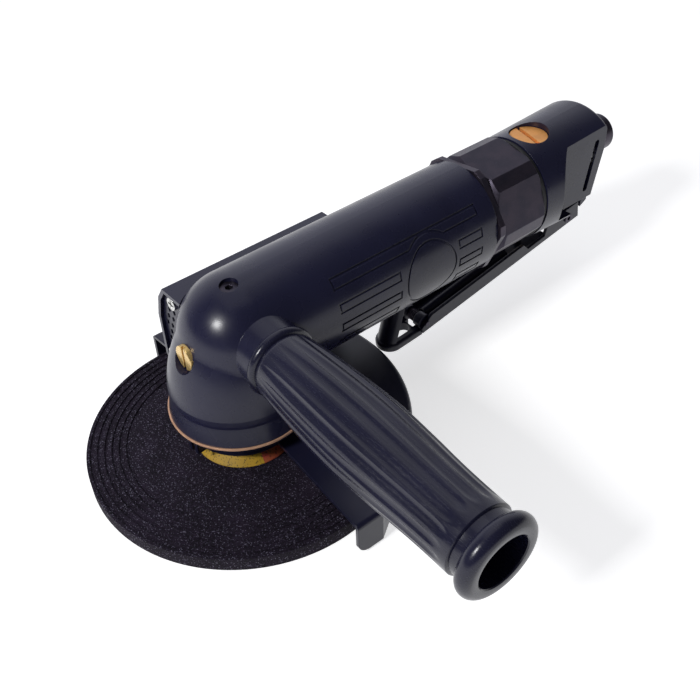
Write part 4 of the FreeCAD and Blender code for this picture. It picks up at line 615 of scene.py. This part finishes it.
# Skirt round the gear head's foot, in millimetres
SKIRT_RISE = 8.6
SKIRT_CURVE = 1.2
SKIRT_SEAT_GAP = 0.02
SKIRT_EDGE_GAP = 0.55
SKIRT_FLARE = 1.2
SKIRT_DEPTH = 2.4
SKIRT_STEPS = 24
SKIRT_COLUMNS = 180


def build_skirt():
    """Mesh of the skirt that turns the gear head's foot out to the gasket's edge."""
    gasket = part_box("head_gasket")
    edge = gasket[1][0] / MM - SKIRT_EDGE_GAP
    foot = gasket[1][2] / MM + SKIRT_SEAT_GAP
    outline = []
    for step in range(SKIRT_STEPS + 1):
        share = step / SKIRT_STEPS
        outline.append((edge - SKIRT_FLARE * (1 - (1 - share) ** SKIRT_CURVE), foot + SKIRT_RISE * share))
    inside = edge - SKIRT_FLARE - SKIRT_DEPTH
    outline += [(inside, foot + SKIRT_RISE), (inside, foot)]
    mesh = bmesh.new()
    rings = []
    turns = [2 * math.pi * column / SKIRT_COLUMNS for column in range(SKIRT_COLUMNS)]
    for radius, height in outline:
        rings.append([mesh.verts.new(Vector((radius * math.cos(turn), radius * math.sin(turn), height)) * MM)
                      for turn in turns])
    close_rings(mesh, rings)
    return mesh


class GRINDER_OT_foot_skirt(bpy.types.Operator):
    """Turn the gear head's foot out to the gasket"""

    bl_idname = "grinder.foot_skirt"
    bl_label = "Build Foot Skirt"

    def execute(self, context):
        paints = context.scene.grinder_paints
        finish = paint_finish("skirt_paint", paints.casting, paints.casting_sheen, paints.peel,
                              paints.casting_edge)
        piece_from(build_skirt(), "foot_skirt", finish, "housing")
        return {"FINISHED"}


class GRINDER_OT_side_grip(bpy.types.Operator):
    """Build the fluted side grip over its plain solid"""

    bl_idname = "grinder.side_grip"
    bl_label = "Build Side Grip"

    def execute(self, context):
        settings = context.scene.grinder_grip
        finish = plastic_finish(settings)
        dress(finish, "side_grip")
        grip = piece_from(build_grip(settings), "fluted_grip", finish, "housing")
        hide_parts("side_grip")
        return {"FINISHED"}


FLOOR_GLOW = 0.64
FLOOR_GAP = 0.1 * MM


def build_floor(settings):
    """Pale floor that stays near white for the camera and keeps the object's shadow."""
    mesh = bmesh.new()
    bmesh.ops.create_circle(mesh, cap_ends=True, segments=96, radius=settings.floor_radius)
    data = bpy.data.meshes.new("studio_floor")
    mesh.to_mesh(data)
    mesh.free()
    floor = bpy.data.objects.new("studio_floor", data)
    floor.location.z = cad_box[0][2] - FLOOR_GAP
    bpy.context.scene.collection.objects.link(floor)
    material = bpy.data.materials.new("floor_paper")
    material.use_nodes = True
    tree = material.node_tree
    tree.nodes.clear()
    paper = tree.nodes.new("ShaderNodeBsdfDiffuse")
    paper.inputs["Color"].default_value = (*settings.floor_color, 1)
    glow = tree.nodes.new("ShaderNodeEmission")
    path = tree.nodes.new("ShaderNodeLightPath")
    seen = path.outputs["Is Camera Ray"]
    for name in ("Is Glossy Ray", "Is Transmission Ray"):
        either = tree.nodes.new("ShaderNodeMath")
        either.operation = "MAXIMUM"
        tree.links.new(seen, either.inputs[0])
        tree.links.new(path.outputs[name], either.inputs[1])
        seen = either.outputs[0]
    level = tree.nodes.new("ShaderNodeMath")
    level.operation = "MULTIPLY"
    level.inputs[1].default_value = FLOOR_GLOW
    tree.links.new(seen, level.inputs[0])
    tree.links.new(level.outputs[0], glow.inputs["Strength"])
    both = tree.nodes.new("ShaderNodeAddShader")
    tree.links.new(paper.outputs[0], both.inputs[0])
    tree.links.new(glow.outputs[0], both.inputs[1])
    output = tree.nodes.new("ShaderNodeOutputMaterial")
    tree.links.new(both.outputs[0], output.inputs["Surface"])
    data.materials.append(material)


WALL_DIRECTION = (0.5, 0.866, 0.0)
WALL_LEVEL = 1.0
ROOM_LEVEL = 0.09
LAMPS = (
    ("key_softbox", (-0.862, -0.084, 0.763), (0.20, 0.20), 8.2),
    ("overhead_softbox", (0.10, 0.25, 1.50), (1.2, 1.2), 2.4),
)
AIM = Vector((0.06, -0.01, 0.04))


def build_world():
    """Dim room with one pale wall behind the object."""
    world = bpy.data.worlds.new("studio_room")
    bpy.context.scene.world = world
    world.use_nodes = True
    tree = world.node_tree
    background = tree.nodes["Background"]
    place = tree.nodes.new("ShaderNodeTexCoord")
    facing = tree.nodes.new("ShaderNodeVectorMath")
    facing.operation = "DOT_PRODUCT"
    facing.inputs[1].default_value = WALL_DIRECTION
    fade = tree.nodes.new("ShaderNodeMapRange")
    fade.interpolation_type = "SMOOTHSTEP"
    fade.inputs["From Min"].default_value = 0.15
    fade.inputs["From Max"].default_value = 0.90
    fade.inputs["To Min"].default_value = ROOM_LEVEL
    fade.inputs["To Max"].default_value = WALL_LEVEL
    tree.links.new(place.outputs["Generated"], facing.inputs[0])
    tree.links.new(facing.outputs["Value"], fade.inputs["Value"])
    tree.links.new(fade.outputs[0], background.inputs["Strength"])
    background.inputs["Color"].default_value = (0.90, 0.91, 1.0, 1)


def build_lamps():
    for name, place, size, power in LAMPS:
        light = bpy.data.lights.new(name, "AREA")
        light.shape = "RECTANGLE"
        light.size, light.size_y = size
        light.energy = power
        lamp = bpy.data.objects.new(name, light)
        lamp.location = place
        lamp.rotation_euler = (AIM - lamp.location).to_track_quat("-Z", "Y").to_euler()
        bpy.context.scene.collection.objects.link(lamp)


IMAGE_PIXELS = 700
FOCAL_PIXELS = 936.105
CENTRE_PIXELS = (325.766, 379.976)
TRUCK = (31.7124 * MM, 19.9783 * MM)
TARGET_HEIGHT = 5.5 * MM


def build_camera(settings):
    """Camera at the photograph's viewing angle."""
    azimuth, elevation, roll = settings.view_azimuth, settings.view_elevation, settings.view_roll
    back = Vector((math.sin(azimuth) * math.cos(elevation), -math.cos(azimuth) * math.cos(elevation),
                   math.sin(elevation)))
    level = Vector((math.cos(azimuth), math.sin(azimuth), 0))
    above = back.cross(level)
    right = math.cos(roll) * level + math.sin(roll) * above
    top = -math.sin(roll) * level + math.cos(roll) * above
    place = back * settings.view_distance + right * TRUCK[0] + top * TRUCK[1] + UP * TARGET_HEIGHT
    lens = bpy.data.cameras.new("photo_view")
    lens.sensor_width = 36
    lens.lens = FOCAL_PIXELS * lens.sensor_width / IMAGE_PIXELS
    lens.shift_x = (IMAGE_PIXELS / 2 - CENTRE_PIXELS[0]) / IMAGE_PIXELS
    lens.shift_y = (CENTRE_PIXELS[1] - IMAGE_PIXELS / 2) / IMAGE_PIXELS
    lens.clip_start = 0.01
    lens.clip_end = 50
    camera = bpy.data.objects.new("photo_view", lens)
    turn = Matrix((right, top, back)).transposed().to_4x4()
    camera.matrix_world = Matrix.Translation(place) @ turn
    bpy.context.scene.collection.objects.link(camera)
    bpy.context.scene.camera = camera


class GRINDER_OT_stage(bpy.types.Operator):
    """Lay the floor, light the studio and set the camera"""

    bl_idname = "grinder.stage"
    bl_label = "Set Stage"

    def execute(self, context):
        settings = context.scene.grinder_stage
        build_floor(settings)
        build_world()
        build_lamps()
        build_camera(settings)
        context.scene.view_settings.view_transform = "Standard"
        return {"FINISHED"}


OPERATORS = (
    GRINDER_OT_castings,
    GRINDER_OT_sheet_parts,
    GRINDER_OT_dark_steel,
    GRINDER_OT_bright_steel,
    GRINDER_OT_yellow_metal,
    GRINDER_OT_wheel,
    GRINDER_OT_seals,
    GRINDER_OT_foot_skirt,
    GRINDER_OT_side_grip,
    GRINDER_OT_stage,
)


class GRINDER_PT_panel(bpy.types.Panel):
    """Lists the grinder's pieces and settings"""

    bl_idname = "GRINDER_PT_panel"
    bl_label = "Angle Grinder"
    bl_space_type = "VIEW_3D"
    bl_region_type = "UI"
    bl_category = "Grinder"

    def draw(self, context):
        for operator in OPERATORS:
            self.layout.operator(operator.bl_idname)
        for name, group in SETTINGS:
            box = self.layout.box()
            box.label(text=group.__name__)
            for key in group.__annotations__:
                box.prop(getattr(context.scene, name), key)


def register():
    for name, group in SETTINGS:
        bpy.utils.register_class(group)
        setattr(bpy.types.Scene, name, PointerProperty(type=group))
    for shown in (*OPERATORS, GRINDER_PT_panel):
        bpy.utils.register_class(shown)


def unregister():
    for shown in reversed((*OPERATORS, GRINDER_PT_panel)):
        bpy.utils.unregister_class(shown)
    for name, group in reversed(SETTINGS):
        delattr(bpy.types.Scene, name)
        bpy.utils.unregister_class(group)


def main():
    register()
    bpy.ops.grinder.castings()
    bpy.ops.grinder.sheet_parts()
    bpy.ops.grinder.dark_steel()
    bpy.ops.grinder.bright_steel()
    bpy.ops.grinder.yellow_metal()
    bpy.ops.grinder.wheel()
    bpy.ops.grinder.seals()
    bpy.ops.grinder.foot_skirt()
    bpy.ops.grinder.side_grip()
    bpy.ops.grinder.stage()


if __name__ == "__main__":
    main()
